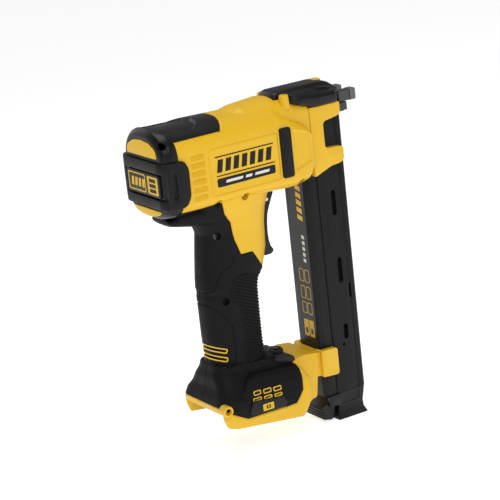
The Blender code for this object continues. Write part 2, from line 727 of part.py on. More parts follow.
def motor():
    """Motor can, shaft with fan, gearbox case and pinion, all on one line."""
    line = (0.0, MOTOR_Z)
    can = turned_x("motor_can", line, ((-44.0, 15.0), (-42.0, MOTOR_RADIUS), (2.0, MOTOR_RADIUS), (4.0, 15.0)), 20)
    cut(can, rod("bore", "X", line, (-60.0, 20.0), 2.9, 12))
    finish(can, dark_steel())
    finish(rod("motor_shaft", "X", line, (-57.0, 37.5), 2.5, 12), steel())
    fan = turned_x("fan", line, ((-55.0, 9.0), (-53.0, 16.0), (-48.0, 16.5), (-47.0, 8.0)), 20)
    cut(fan, rod("bore", "X", line, (-60.0, 20.0), 2.8, 12))
    for i in range(8):
        angle = math.pi * i / 4
        hole = rod("vent", "X", (11.5 * math.cos(angle), MOTOR_Z + 11.5 * math.sin(angle)), (-60.0, -40.0), 2.2, 6)
        cut(fan, hole)
    finish(fan, black())
    case = turned_x("gearbox_case", line, ((6.0, 15.5), (24.0, 15.5), (29.0, 11.0)), 20)
    cut(case, rod("bore", "X", line, (0.0, 40.0), 2.9, 12))
    finish(case, material("cast_alloy", (0.6, 0.6, 0.6), 0.5, 0.9))
    pinion = gear("pinion", "X", line, (31.0, 37.0), 5.6, 1.0, 9)
    cut(pinion, rod("bore", "X", line, (20.0, 50.0), 2.8, 12))
    finish(pinion, steel())


def gear(name, axis, centre, span, radius, tooth, teeth):
    """A straight-toothed wheel: the outline steps between root and tip."""
    outline = []
    for i in range(teeth * 4):
        angle = 2 * math.pi * i / (teeth * 4)
        reach = radius if i % 4 in (1, 2) else radius - 2 * tooth
        outline.append((centre[0] + reach * math.cos(angle), centre[1] + reach * math.sin(angle)))
    return prism(name, outline, axis, *span)


def lifter():
    """Lifter gear that draws the hammer back, on its axle."""
    wheel = gear("lifter_gear", "Y", (LIFTER_X, LIFTER_Z), (-4.0, 4.0), LIFTER_RADIUS, 1.4, 20)
    cut(wheel, rod("bore", "Y", (LIFTER_X, LIFTER_Z), (-10.0, 10.0), 3.3, 12))
    finish(wheel, steel())
    finish(rod("lifter_axle", "Y", (LIFTER_X, LIFTER_Z), (-27.5, 27.5), 3.0, 12), steel())


def hammer():
    """Hammer, driver blade, drive spring, guide rod and impact bumper."""
    line = (0.0, ROD_Z)
    body = box("hammer", (44.0, 72.0), (-10.0, 10.0), (243.0, 258.0))
    cut(body, rod("rod_bore", "X", line, (30.0, 90.0), 2.9, 12))
    finish(body, steel())
    blade = box("driver_blade", (72.0 + GAP, 123.5), (-BLADE_HALF, BLADE_HALF),
                (DRIVE_Z - BLADE_THICK / 2, DRIVE_Z + BLADE_THICK / 2))
    finish(blade, steel())
    finish(rod("guide_rod", "X", line, (-47.0, 79.0), 2.5, 12), steel())
    finish(helix("drive_spring", "X", line, (-45.0, 43.7), 5.4, 0.9, 11), steel())
    bumper = box("impact_bumper", (72.9, 79.2), (-15.0, 15.0), (247.9, 258.0))
    cut(bumper, rod("rod_hole", "X", line, (60.0, 90.0), 2.8, 8))
    finish(bumper, rubber())


def screws():
    """Casing screws: a head and a shank each."""
    for name, (x, z) in SCREWS.items():
        head = screw_y(name)
        profile = ((head, SCREW_HEAD), (head + 2.2, SCREW_HEAD), (head + 2.2 + 0.01, SCREW_SHANK), (SCREW_TIP_Y, SCREW_SHANK))
        rings = [[(a, y, b) for a, b in circle(x, z, r, 12)] for y, r in profile]
        screw = loft(name, rings)
        cut(screw, rod("recess", "Y", (x, z), (head - 5.0, head + 1.2), 1.2, 6))
        finish(screw, dark_steel())


def build():
    """Make every sub-part."""
    clear_scene()
    housing()
    grips()
    rear_cap()
    rear_trim()
    side_bumpers()
    nose()
    contact_trip()
    magazine_rail()
    magazine_cover()
    magazine_core()
    magazine_latch()
    bracket()
    trigger()
    foot_fittings()
    motor()
    lifter()
    hammer()
    screws()


build()
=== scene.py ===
"""Looks of the cordless brad nailer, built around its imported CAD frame.

Sizes here are in millimetres, in the part's own directions: +X towards the nose, +Y the
operator's left, +Z up. Heights count from the front edge of the battery skirts, SEAT above
which the frame has its origin. settle() brings a finished piece to the frame's metres.
"""
import json
import math

import bmesh
import bpy
import numpy as np
from mathutils import Matrix, Vector


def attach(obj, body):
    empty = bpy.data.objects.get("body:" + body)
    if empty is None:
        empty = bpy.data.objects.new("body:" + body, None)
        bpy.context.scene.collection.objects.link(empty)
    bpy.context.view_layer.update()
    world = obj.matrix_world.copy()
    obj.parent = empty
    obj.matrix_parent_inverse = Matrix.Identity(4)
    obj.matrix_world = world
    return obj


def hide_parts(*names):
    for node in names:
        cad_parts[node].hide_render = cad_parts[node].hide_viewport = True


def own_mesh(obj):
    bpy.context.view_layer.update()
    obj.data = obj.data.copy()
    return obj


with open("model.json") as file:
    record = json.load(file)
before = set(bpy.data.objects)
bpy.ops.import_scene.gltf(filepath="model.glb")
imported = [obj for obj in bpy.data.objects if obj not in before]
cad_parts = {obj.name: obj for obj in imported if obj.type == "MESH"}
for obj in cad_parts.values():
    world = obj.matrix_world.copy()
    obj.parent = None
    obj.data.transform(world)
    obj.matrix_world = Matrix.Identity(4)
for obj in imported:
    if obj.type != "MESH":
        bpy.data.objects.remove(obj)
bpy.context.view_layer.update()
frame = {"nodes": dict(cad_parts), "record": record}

SEAT = 15.0                 # battery seat above the front edge of the skirts
FOOT_TILT = -0.0806         # slope of the foot, lower at the front
LIP_TILT = -0.118           # slope of its lower lip
VOXEL = 0.55
SMOOTH_ROUNDS = 10
FAR = 200.0                 # past every form
SIDES = (("right", -1), ("left", 1))

CAP_JOINT = -51.5           # x of the shut line between the rear cap and the barrel
SEAM_DEPTH = 0.7            # grooves along the shut lines
SEAM_HALF = 0.55


# -------- mesh tools

def new_object(points, faces, name="form"):
    """A mesh object from points and faces, turned to face out."""
    mesh = bpy.data.meshes.new(name)
    mesh.from_pydata([tuple(map(float, p)) for p in points], [], faces)
    work = bmesh.new()
    work.from_mesh(mesh)
    bmesh.ops.recalc_face_normals(work, faces=work.faces[:])
    work.to_mesh(mesh)
    work.free()
    obj = bpy.data.objects.new(name, mesh)
    bpy.context.scene.collection.objects.link(obj)
    return obj


def loft(rings):
    """Skin between rings of equal point count, with flat ends."""
    count = len(rings[0])
    points = [p for ring in rings for p in ring]
    faces = [list(range(count)), list(range(len(points) - count, len(points)))]
    for level in range(len(rings) - 1):
        low = level * count
        high = low + count
        for i in range(count):
            j = (i + 1) % count
            faces.append((low + i, low + j, high + j, high + i))
    return new_object(points, faces)


PLACE = {
    "X": lambda a, b, t: (t, a, b),
    "Y": lambda a, b, t: (a, t, b),
    "Z": lambda a, b, t: (a, b, t),
}


def prism(outline, axis, low, high):
    """Extrude a flat outline along an axis."""
    return loft([[PLACE[axis](a, b, t) for a, b in outline] for t in (low, high)])


def box(x, y, z):
    """A box from its three spans."""
    return prism(((x[0], z[0]), (x[1], z[0]), (x[1], z[1]), (x[0], z[1])), "Y", *y)


def side_span(side, near, far):
    """A span in y on one side of the tool."""
    return (near, far) if side > 0 else (-far, -near)


def circle(a, b, radius, count=32):
    """Points of a circle around (a, b)."""
    turn = 2 * math.pi / count
    return [(a + radius * math.cos(turn * i), b + radius * math.sin(turn * i)) for i in range(count)]


def rod(axis, centre, span, radius, count=32):
    """A cylinder along an axis."""
    return prism(circle(*centre, radius, count), axis, *span)


def turned(axis, centre, profile, count=40):
    """A body turned about a line; profile holds (place along, radius) steps."""
    rings = [[PLACE[axis](a, b, t) for a, b in circle(*centre, r, count)] for t, r in profile]
    return loft(rings)


def rounded_rect(a, b, radius, steps=6):
    """A rectangle outline with rounded corners from two spans."""
    centres = ((a[1] - radius, b[1] - radius), (a[0] + radius, b[1] - radius),
               (a[0] + radius, b[0] + radius), (a[1] - radius, b[0] + radius))
    points = []
    for quarter, (ca, cb) in enumerate(centres):
        for i in range(steps + 1):
            angle = math.pi / 2 * (quarter + i / steps)
            points.append((ca + radius * math.cos(angle), cb + radius * math.sin(angle)))
    return points


def rounded(outline, radius, steps=5):
    """An outline with each corner rounded by up to the radius."""
    points = []
    count = len(outline)
    for i, corner in enumerate(outline):
        here = Vector(corner)
        before = Vector(outline[i - 1]) - here
        after = Vector(outline[(i + 1) % count]) - here
        reach = min(radius, before.length * 0.45, after.length * 0.45)
        start = here + before.normalized() * reach
        end = here + after.normalized() * reach
        for k in range(steps + 1):
            t = k / steps
            mixed = start.lerp(here, t).lerp(here.lerp(end, t), t)
            points.append((mixed.x, mixed.y))
    return points


def superellipse(half_a, half_b, power, count=48):
    """A rounded-square outline about its middle."""
    points = []
    for i in range(count):
        angle = 2 * math.pi * i / count
        c, s = math.cos(angle), math.sin(angle)
        points.append((half_a * math.copysign(abs(c) ** (2 / power), c),
                       half_b * math.copysign(abs(s) ** (2 / power), s)))
    return points


def baked(obj):
    """Apply the object's modifiers."""
    bpy.context.view_layer.update()
    graph = bpy.context.evaluated_depsgraph_get()
    mesh = bpy.data.meshes.new_from_object(obj.evaluated_get(graph))
    obj.modifiers.clear()
    obj.data = mesh
    return obj


def combine(target, other, operation):
    """Boolean of two closed meshes; the other is used up."""
    step = target.modifiers.new("boolean", "BOOLEAN")
    step.operation = operation
    step.solver = "MANIFOLD"
    step.object = other
    baked(target)
    bpy.data.objects.remove(other, do_unlink=True)
    return target


def cut(target, *others):
    """Take the others away from the target."""
    for other in others:
        combine(target, other, "DIFFERENCE")
    return target


def join(target, *others):
    """Fuse the others into the target."""
    for other in others:
        combine(target, other, "UNION")
    return target


def common(target, other):
    """Keep what both share."""
    return combine(target, other, "INTERSECT")


def copy(obj):
    """A second object with its own mesh."""
    made = obj.copy()
    made.data = obj.data.copy()
    bpy.context.scene.collection.objects.link(made)
    return made


def add_bevel(obj, width, segments, angle, unit=1.0):
    """Modifiers that weld double points and round the edges sharper than the angle."""
    weld = obj.modifiers.new("weld", "WELD")
    weld.merge_threshold = 0.002 * unit
    step = obj.modifiers.new("bevel", "BEVEL")
    step.width = width * unit
    step.segments = segments
    step.limit_method = "ANGLE"
    step.angle_limit = math.radians(angle)
    return obj


def bevelled(obj, width, segments=3, angle=28):
    """Round the edges sharper than the angle."""
    return baked(add_bevel(obj, width, segments, angle))


def fused(parts, voxel, rounds):
    """Melt closed forms into one smooth body with small fillets where they meet."""
    first = parts[0]
    work = bmesh.new()
    for part in parts:
        work.from_mesh(part.data)
    work.to_mesh(first.data)
    work.free()
    for part in parts[1:]:
        bpy.data.objects.remove(part, do_unlink=True)
    step = first.modifiers.new("remesh", "REMESH")
    step.mode = "VOXEL"
    step.voxel_size = voxel
    soft = first.modifiers.new("smooth", "SMOOTH")
    soft.factor = 0.5
    soft.iterations = rounds
    return baked(first)


def settle(obj, paint, smooth):
    """Bring a finished piece to metres, with its material and shading."""
    obj.data.transform(Matrix.Scale(0.001, 4) @ Matrix.Translation((0.0, 0.0, -SEAT)))
    obj.data.materials.clear()
    obj.data.materials.append(paint)
    obj.data.shade_smooth()
    obj.data.set_sharp_from_angle(angle=math.radians(smooth))


def piece(obj, name, paint, stands_for=(), body="housing", smooth=35):
    """Finish a piece, hang it on its CAD body and hide the CAD nodes it stands for."""
    obj.name = name
    settle(obj, paint, smooth)
    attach(obj, body)
    if stands_for:
        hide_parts(*stands_for)


# -------- fields for moulded detail

def ramp(low, high, value):
    """Smooth step from 0 at low to 1 at high."""
    t = np.clip((value - low) / (high - low), 0.0, 1.0)
    return t * t * (3.0 - 2.0 * t)


def to_box(u, v, centre, half, radius):
    """Signed distance to a rounded rectangle."""
    a = np.abs(u - centre[0]) - half[0] + radius
    b = np.abs(v - centre[1]) - half[1] + radius
    return np.hypot(np.maximum(a, 0), np.maximum(b, 0)) + np.minimum(np.maximum(a, b), 0) - radius


def to_line(u, v, points):
    """Distance to a run of straight lines."""
    best = np.full(u.shape, 1e6)
    for (a0, b0), (a1, b1) in zip(points, points[1:]):
        da, db = a1 - a0, b1 - b0
        t = np.clip(((u - a0) * da + (v - b0) * db) / (da * da + db * db), 0.0, 1.0)
        best = np.minimum(best, np.hypot(u - a0 - t * da, v - b0 - t * db))
    return best


def to_polygon(u, v, points):
    """Signed distance to a polygon, negative inside."""
    inside = np.zeros(u.shape, bool)
    for (a0, b0), (a1, b1) in zip(points, points[1:] + points[:1]):
        if b0 == b1:
            continue
        crosses = (b0 > v) != (b1 > v)
        inside ^= crosses & (u < (a1 - a0) * (v - b0) / (b1 - b0) + a0)
    away = to_line(u, v, points + points[:1])
    return np.where(inside, -away, away)


def groove(distance, half=SEAM_HALF, depth=SEAM_DEPTH):
    """A rounded channel around zero distance."""
    return depth * (1.0 - ramp(half * 0.4, half * 1.6, np.abs(distance)))


def pocket(distance, depth, edge=0.5):
    """A flat recess inside zero distance."""
    return depth * (1.0 - ramp(-edge, edge, distance))


def carve(obj, field):
    """Push each point in along its normal by the field's depth."""
    mesh = obj.data
    read = []
    for source, key in ((mesh.vertices, "co"), (mesh.vertex_normals, "vector")):
        flat = np.zeros(len(source) * 3, np.float32)
        source.foreach_get(key, flat)
        read.append(flat.reshape(-1, 3).astype(float))
    points, normals = read
    points -= normals * field(points)[:, None]
    mesh.vertices.foreach_set("co", points.astype(np.float32).ravel())
    mesh.update()
    return obj


# -------- materials

def node_tree(name):
    """A new material, its shader, a maker of linked nodes and a joiner to the shader."""
    made = bpy.data.materials.new(name)
    made.use_nodes = True
    tree = made.node_tree
    shader = tree.nodes["Principled BSDF"]

    def feed(node, inputs):
        for key, value in dict(inputs).items():
            if isinstance(value, bpy.types.NodeSocket):
                tree.links.new(value, node.inputs[key])
            else:
                node.inputs[key].default_value = value
        return node

    def add(kind, inputs=(), **settings):
        node = tree.nodes.new(kind)
        for key, value in settings.items():
            setattr(node, key, value)
        return feed(node, inputs)

    return made, add, lambda inputs: feed(shader, inputs)


def coordinates(add, stretch=(1.0, 1.0, 1.0)):
    """Object coordinates, scaled along each direction."""
    place = add("ShaderNodeTexCoord")
    scaled = add("ShaderNodeMapping", {"Vector": place.outputs["Object"], "Scale": stretch})
    return scaled.outputs["Vector"]


def noise(add, where, scale, detail, roughness=0.5):
    """A cloudy value from 0 to 1."""
    inputs = {"Vector": where, "Scale": scale, "Detail": detail, "Roughness": roughness}
    return add("ShaderNodeTexNoise", inputs).outputs["Fac"]


def blend(add, share, first, second):
    """Two colours mixed by a share; each is a socket or three numbers."""
    inputs = {"Fac": share}
    for key, value in (("Color1", first), ("Color2", second)):
        inputs[key] = value if isinstance(value, bpy.types.NodeSocket) else (*value, 1.0)
    return add("ShaderNodeMixRGB", inputs).outputs["Color"]


def remap(add, value, start, end, low=0.3, high=0.7):
    """A value brought from one span to another."""
    inputs = {"Value": value, "From Min": low, "From Max": high, "To Min": start, "To Max": end}
    return add("ShaderNodeMapRange", inputs).outputs["Result"]


def relief(add, height, strength, distance):
    """A bumped normal."""
    inputs = {"Height": height, "Strength": strength, "Distance": distance}
    return add("ShaderNodeBump", inputs).outputs["Normal"]


def moulded(name, base, worn, rough, grain, grain_size, wear, specular):
    """Moulded plastic or rubber: fine grain, uneven gloss and edges rubbed a little lighter."""
    made, add, shade = node_tree(name)
    where = coordinates(add)
    cloud = noise(add, where, 38.0, 4.0, 0.6)
    fine = noise(add, where, 1000.0 / grain_size, 2.0)
    speck = noise(add, where, 620.0, 3.0)
    geometry = add("ShaderNodeNewGeometry")
    edge = remap(add, geometry.outputs["Pointiness"], 0.0, wear, 0.52, 0.62)
    broken = add("ShaderNodeMath", {0: edge, 1: speck}, operation="MULTIPLY").outputs["Value"]
    tint = blend(add, cloud, [c * 0.93 for c in base], [min(1.0, c * 1.06) for c in base])
    shade({
        "Base Color": blend(add, broken, tint, worn),
        "Roughness": remap(add, cloud, rough - 0.05, rough + 0.07),
        "Normal": relief(add, fine, grain, 0.00012),
        "Specular IOR Level": specular,
    })
    return made


def drawn_metal(name, base, light, rough, stretch=(900.0, 900.0, 12.0), metallic=1.0, strength=0.12):
    """Metal with fine lines along the direction it was drawn or ground."""
    made, add, shade = node_tree(name)
    lines = noise(add, coordinates(add, stretch), 1.0, 5.0, 0.65)
    cloud = noise(add, coordinates(add), 55.0, 3.0)
    shade({
        "Base Color": blend(add, lines, base, light),
        "Roughness": remap(add, cloud, rough - 0.05, rough + 0.08),
        "Normal": relief(add, lines, strength, 0.00006),
        "Specular IOR Level": 0.14,
        "Metallic": metallic,
    })
    return made


def stippled_rubber():
    """Overmoulded grip rubber with a leathery stipple."""
    made, add, shade = node_tree("grip_rubber")
    where = coordinates(add)
    cells = add("ShaderNodeTexVoronoi", {"Vector": where, "Scale": 950.0}).outputs["Distance"]
    fine = noise(add, where, 2400.0, 3.0)
    cloud = noise(add, where, 45.0, 4.0)
    mixed = add("ShaderNodeMath", {0: cells, 1: fine}, operation="ADD").outputs["Value"]
    shade({
        "Base Color": blend(add, cloud, (0.0040, 0.0040, 0.0043), (0.0072, 0.0072, 0.0075)),
        "Roughness": remap(add, cloud, 0.5, 0.64),
        "Normal": relief(add, mixed, 0.3, 0.00022),
        "Specular IOR Level": 0.13,
    })
    return made


def printed(name, base, rough):
    """Print or film on the casing, with a slightly uneven surface."""
    made, add, shade = node_tree(name)
    cloud = noise(add, coordinates(add), 260.0, 4.0)
    dark = [c * 0.88 for c in base]
    light = [min(1.0, c * 1.08 + 0.004) for c in base]
    shade({
        "Base Color": blend(add, cloud, dark, light),
        "Roughness": remap(add, cloud, rough - 0.06, rough + 0.06, 0.0, 1.0),
        "Normal": relief(add, cloud, 0.08, 0.00008),
        "Specular IOR Level": 0.2,
    })
    return made


def clear_plastic():
    """Clear moulded lens over a light emitter, a little hazy."""
    made, add, shade = node_tree("clear_lens")
    cloud = noise(add, coordinates(add), 400.0, 2.0)
    shade({
        "Roughness": remap(add, cloud, 0.03, 0.16, 0.0, 1.0),
        "Normal": relief(add, cloud, 0.15, 0.0002),
        "Base Color": (0.82, 0.86, 0.88, 1.0),
        "Transmission Weight": 0.85,
    })
    return made


# name, base, rubbed edge, roughness, grain, grain size in mm, wear, specular
YELLOW = moulded("yellow_plastic", (0.76, 0.455, 0.012), (0.86, 0.60, 0.10), 0.38, 0.3, 0.5, 0.5, 0.35)
BLACK = moulded("black_plastic", (0.0045, 0.0045, 0.0048), (0.035, 0.035, 0.036), 0.34, 0.5, 0.55, 0.6,
                0.27)
RUBBER = moulded("trim_rubber", (0.0045, 0.0045, 0.0048), (0.025, 0.025, 0.025), 0.44, 0.5, 0.6, 0.5, 0.2)
PAD = moulded("pale_tip_rubber", (0.11, 0.11, 0.115), (0.19, 0.19, 0.19), 0.5, 0.5, 0.6, 0.6, 0.4)
GRIP = stippled_rubber()
# name, base, light, roughness, stretch of the lines, metallic, depth of the lines
ANODISED = drawn_metal("black_anodised", (0.008, 0.008, 0.009), (0.018, 0.018, 0.019), 0.34,
                       (700.0, 700.0, 9.0), 0.25)
STEEL = drawn_metal("bright_steel", (0.42, 0.42, 0.44), (0.62, 0.62, 0.64), 0.26)
OXIDE = drawn_metal("black_oxide_steel", (0.045, 0.045, 0.048), (0.095, 0.095, 0.10), 0.40,
                    (14.0, 900.0, 900.0), 0.8)
CAST = drawn_metal("cast_alloy", (0.38, 0.38, 0.38), (0.55, 0.55, 0.55), 0.5, (260.0, 260.0, 260.0), 0.9, 0.3)
LENS = clear_plastic()
BOARD = printed("circuit_board", (0.012, 0.10, 0.035), 0.35)
FILM = printed("black_film", (0.006, 0.006, 0.007), 0.25)
INK = printed("black_ink", (0.008, 0.008, 0.007), 0.45)
YELLOW_INK = printed("yellow_ink", (0.72, 0.45, 0.03), 0.45)
PALE_INK = printed("pale_ink", (0.70, 0.70, 0.68), 0.45)

SLOT_PAINT = {              # finish of each slot in the record
    "yellow_shell": YELLOW, "black_shell": BLACK, "black_rubber": RUBBER, "bright_steel": STEEL,
    "black_steel": OXIDE, "black_aluminium": ANODISED, "bright_aluminium": OXIDE, "pale_pad": PAD,
    "clear_lens": LENS, "board": BOARD, "cast_alloy": CAST,
}


def paint_cad():
    """Give every CAD node the finish of its record slot."""
    for row in frame["record"]["subparts"]:
        node = frame["nodes"][row["node"]]
        node.data.materials.clear()
        node.data.materials.append(SLOT_PAINT[row["material_slot"]])


# -------- casing forms

BULGE = (                   # x, half width, bottom, lower shoulder, upper shoulder, top
    (-66.0, 27.0, 195.0, 208.0, 238.0, 260.5),
    (-65.0, 29.0, 193.0, 207.0, 240.0, 263.5),
    (-62.5, 31.2, 191.5, 206.0, 241.0, 266.0),
    (-57.0, 32.8, 190.5, 206.0, 242.0, 267.0),
    (-45.0, 33.0, 191.5, 206.0, 242.0, 266.2),
    (14.0, 33.0, 192.5, 206.0, 242.0, 264.5),
    (48.0, 33.0, 190.5, 206.0, 242.0, 264.5),
    (56.0, 33.0, 190.0, 206.0, 241.5, 258.0),
    (66.0, 33.0, 190.5, 206.0, 239.0, 251.0),
    (75.0, 32.2, 192.5, 208.0, 236.0, 246.0),
    (80.0, 29.5, 197.0, 212.0, 232.0, 242.0),
    (82.0, 26.5, 201.0, 215.0, 229.0, 238.5),
)
RIDGE = (                   # the narrower top of the barrel, in the same columns
    (4.0, 19.0, 215.0, 225.0, 250.0, 261.5),
    (14.0, 21.0, 215.0, 225.0, 250.0, 264.8),
    (24.0, 22.5, 210.0, 225.0, 250.0, 267.4),
    (50.0, 22.5, 205.0, 225.0, 251.0, 269.4),
    (58.0, 22.3, 200.0, 215.0, 251.0, 268.0),
    (84.0, 22.0, 195.5, 205.0, 250.5, 263.5),
)
HANDLE = (                  # z, rear, front, half width
    (28.0, -29.0, 28.0, 20.0),
    (52.0, -28.0, 27.0, 19.2),
    (63.0, -27.2, 26.0, 18.8),
    (78.0, -28.0, 26.0, 18.8),
    (96.0, -28.0, 26.2, 19.0),
    (112.0, -28.2, 26.6, 19.3),
    (116.0, -27.4, 27.2, 19.3),
    (120.0, -28.4, 28.4, 19.4),
    (128.0, -28.0, 33.4, 19.6),
    (146.0, -26.0, 38.2, 20.0),
    (167.0, -23.0, 38.8, 21.0),
    (180.0, -27.0, 40.5, 23.5),
    (190.0, -38.0, 44.0, 26.5),
    (200.0, -42.0, 48.0, 28.0),
)
TAIL = (                    # x, half width, bottom, top
    (-57.0, 13.0, 184.8, 188.8),
    (-54.0, 17.0, 182.3, 190.5),
    (-48.0, 19.5, 180.6, 197.0),
    (-40.0, 21.0, 179.0, 197.5),
    (-30.0, 21.8, 176.8, 197.5),
    (-8.0, 21.0, 172.0, 197.5),
)
FOOT = (                    # height, rear, front, half width, corner radius
    (1.3, -32.5, 45.0, 36.6, 9.0),
    (9.5, -35.5, 51.0, 37.5, 10.0),
    (19.0, -37.4, 54.0, 37.8, 13.0),
    (26.0, -35.2, 54.0, 36.5, 14.0),
    (33.0, -32.4, 52.0, 31.0, 14.0),
    (41.0, -31.6, 48.0, 26.0, 14.0),
    (47.0, -29.6, 38.0, 22.0, 14.0),
    (53.0, -28.4, 30.0, 20.0, 13.0),
)
BLOCK = (                   # the boxy front of the foot, in the same columns
    (12.0, -24.0, 51.0, 37.3, 5.0),
    (24.0, -20.0, 52.0, 37.3, 5.0),
    (34.0, -15.0, 51.0, 35.4, 5.0),
    (41.0, -9.0, 47.5, 31.8, 5.0),
    (44.5, -3.0, 43.0, 28.5, 5.0),
)


def barrel_ring(x, half, bottom, low, high, top, inset, count=64):
    """A barrel section: flat sides between the shoulders, rounded above and below."""
    points = []
    for i in range(count):
        angle = 2 * math.pi * (i + 0.5) / count
        c, s = math.cos(angle), math.sin(angle)
        power = 2.25 if s > 0 else 2.5
        y = (half - inset) * math.copysign(abs(c) ** (2 / power), c)
        rise = abs(s) ** (2 / power)
        z = high + (top - inset - high) * rise if s > 0 else low - (low - bottom - inset) * rise
        points.append((x, y, z))
    return points


def barrel(stations, inset=0.0, shorten=0.0):
    """A barrel loft, smaller all round by the inset."""
    rings = []
    first, last = stations[0][0] + shorten, stations[-1][0] - shorten
    for x, *sizes in stations:
        if first <= x <= last or x in (stations[0][0], stations[-1][0]):
            rings.append(barrel_ring(min(max(x, first), last), *sizes, inset))
    return loft(rings)


def handle(inset=0.0, low=0.0, high=FAR * 2):
    """The pistol grip's loft between two heights."""
    rings = []
    for z, rear, front, half in HANDLE:
        if low <= z <= high:
            reach = (front - rear) / 2 - inset
            outline = superellipse(reach, half - inset, 2.35)
            rings.append([((rear + front) / 2 + a, b, z) for a, b in outline])
    return loft(rings)


def tail():
    """The beavertail under the rear of the barrel."""
    rings = []
    for x, half, bottom, top in TAIL:
        outline = superellipse(half, (top - bottom) / 2, 2.6)
        rings.append([(x, a, (top + bottom) / 2 + b) for a, b in outline])
    return loft(rings)


def foot(levels):
    """Part of the battery foot, tilted a little down to the front."""
    rings = []
    for height, rear, front, half, radius in levels:
        slope = FOOT_TILT if height > 5.0 else LIP_TILT
        outline = rounded_rect((rear, front), (-half, half), radius)
        rings.append([(a, b, height + slope * a) for a, b in outline])
    return loft(rings)


# Side view outlines (x, z) of where one moulding meets the next
CAP_LINE = [(CAP_JOINT, 300.0), (CAP_JOINT, 188.0)]
TONGUE_Z = 255.6            # underside of the cap's tongue
NECK_LINE = [
    (-51.5, 197.2), (-31.5, 195.8), (-12.0, 196.6), (-9.2, 185.7), (-3.2, 176.6), (0.0, 160.4), (5.0, 146.9),
    (16.6, 146.4), (26.0, 132.7), (33.0, 126.5), (60.0, 126.5),
]
COVER_LINE = [
    (-FAR, 24.6), (-38.5, 24.2), (-31.0, 19.0), (-16.0, 11.0), (19.0, 11.0), (24.0, 10.4), (33.6, 11.0),
    (41.2, 20.5), (43.0, 33.0), (43.6, 46.0), (43.6, 60.0),
]
LABEL_PANEL = ((10.5, 225.0), (33.5, 19.6))     # middle and half size, as seen from the side
RIBS = [240.2 - 6.7 * i for i in range(6)]      # heights of the louvres behind the label
FRONT_POCKET = [(60.0, 242.5), (76.0, 237.5), (79.0, 233.5), (79.0, 218.5), (76.0, 213.5), (60.0, 208.5)]
PALM_UPPER = [
    (-3.2, 146.8), (-4.9, 140.0), (-14.0, 135.6), (-19.0, 128.2), (-21.5, 121.0), (-27.0, 118.0),
    (-40.0, 120.5),
]
PALM_LOWER = [
    (-40.0, 112.0), (-24.7, 106.6), (-16.0, 97.7), (-10.5, 88.9), (-9.3, 64.9), (-11.6, 54.7),
    (-22.0, 53.0),
]
RIB_PANEL = [
    (9.0, 129.5), (2.0, 129.3), (-4.5, 127.0), (-7.4, 121.0), (-7.4, 111.6), (-1.5, 101.1), (1.2, 85.6),
    (-1.8, 56.0), (3.0, 52.5), (60.0, 52.5), (60.0, 124.0), (17.0, 125.0),
]
THUMB = [                   # recess on top of the cap, seen from above (x, y)
    (-60.0, -17.0), (-56.0, -20.5), (-29.0, -20.5), (-20.5, -13.0), (-18.5, 0.0), (-20.5, 13.0),
    (-29.0, 20.5), (-56.0, 20.5), (-60.0, 17.0),
]
GRIP_SLOTS = (              # rear slots low on the grip: x, z of the two ends
    ((-45.0, 74.6), (-17.5, 66.4)),
    ((-45.0, 66.8), (-17.8, 59.0)),
)
RIB_PITCH = 2.9
RIB_RISE = 0.42             # slope of the ribs across the grip


def tongue_outline():
    """Plan outline of the cap's tongue along the top."""
    points = [(-80.0, -45.0), (-16.0, -45.0)]
    for i in range(13):
        y = -33.0 + 66.0 * i / 12
        points.append((1.0 - 13.0 * (abs(y) / 33.0) ** 2.6, y))
    points += [(-16.0, 45.0), (-80.0, 45.0)]
    return points


def casing_field(points):
    """Depth of every groove, recess and rib moulded into the casings."""
    x, y, z = points.T
    wide = np.abs(y)
    flank = ramp(24.0, 28.0, wide) * ramp(199.0, 203.0, z)
    depth = np.zeros(len(x))
    # shut lines
    depth += groove(to_line(x, z, CAP_LINE)) * (z < TONGUE_Z + 0.5) * (z > 187.0) * (x < -40.0)
    plan = to_polygon(x, y, tongue_outline())
    depth += groove(plan) * (z > TONGUE_Z - 0.5) * (x > CAP_JOINT - 1.0)
    depth += groove(z - TONGUE_Z) * (plan < 0.5) * (x > CAP_JOINT) * (x < 4.0)
    depth += groove(to_line(x, z, NECK_LINE)) * (z > 125.0)
    depth += groove(to_line(x, z, COVER_LINE)) * (z < 56.0)
    halves = (x > CAP_JOINT) & ~((plan < 0) & (z > TONGUE_Z))
    depth += groove(y, 0.35, 0.35) * halves * (z > 16.0)
    # barrel flanks
    depth += groove(to_box(x, z, *LABEL_PANEL, 3.0), 0.7, 0.75) * flank
    for middle in RIBS:
        slope = np.clip((z - middle + 2.2) / 4.4, 0.0, 1.0)
        depth += pocket(to_box(x, z, (-34.0, middle), (6.4, 2.2), 1.4), 2.3, 0.5) * slope * flank
    depth += pocket(to_polygon(x, z, FRONT_POCKET), 1.1, 0.9) * flank
    # cap: thumb recess on top
    depth += pocket(to_polygon(x, y, THUMB), 2.3, 0.7) * (z > 246.0)
    # grip: palm panels, the ribbed front panel and the rear slots
    on_grip = ramp(50.0, 54.0, z) * (1.0 - ramp(150.0, 156.0, z))
    depth += groove(to_line(x, z, PALM_UPPER), 0.6, 0.7) * on_grip * (x > -33.0)
    depth += groove(to_line(x, z, PALM_LOWER), 0.6, 0.7) * on_grip * (x > -33.0)
    panel = to_polygon(x, z, RIB_PANEL)
    depth += groove(panel, 0.7, 0.8) * on_grip
    teeth = 0.5 + 0.5 * np.sin(2 * math.pi * (z + RIB_RISE * (x - 10.0)) / RIB_PITCH)
    ribbed = (1.0 - ramp(-2.2, -1.2, panel)) * on_grip
    depth += ribbed * (0.15 + 0.85 * teeth)
    for start, end in GRIP_SLOTS:
        reach = to_line(x, z, [start, end])
        depth += pocket(reach - 1.5, 1.3, 0.4) * (x < -10.0) * (wide < 30.0)
    return depth


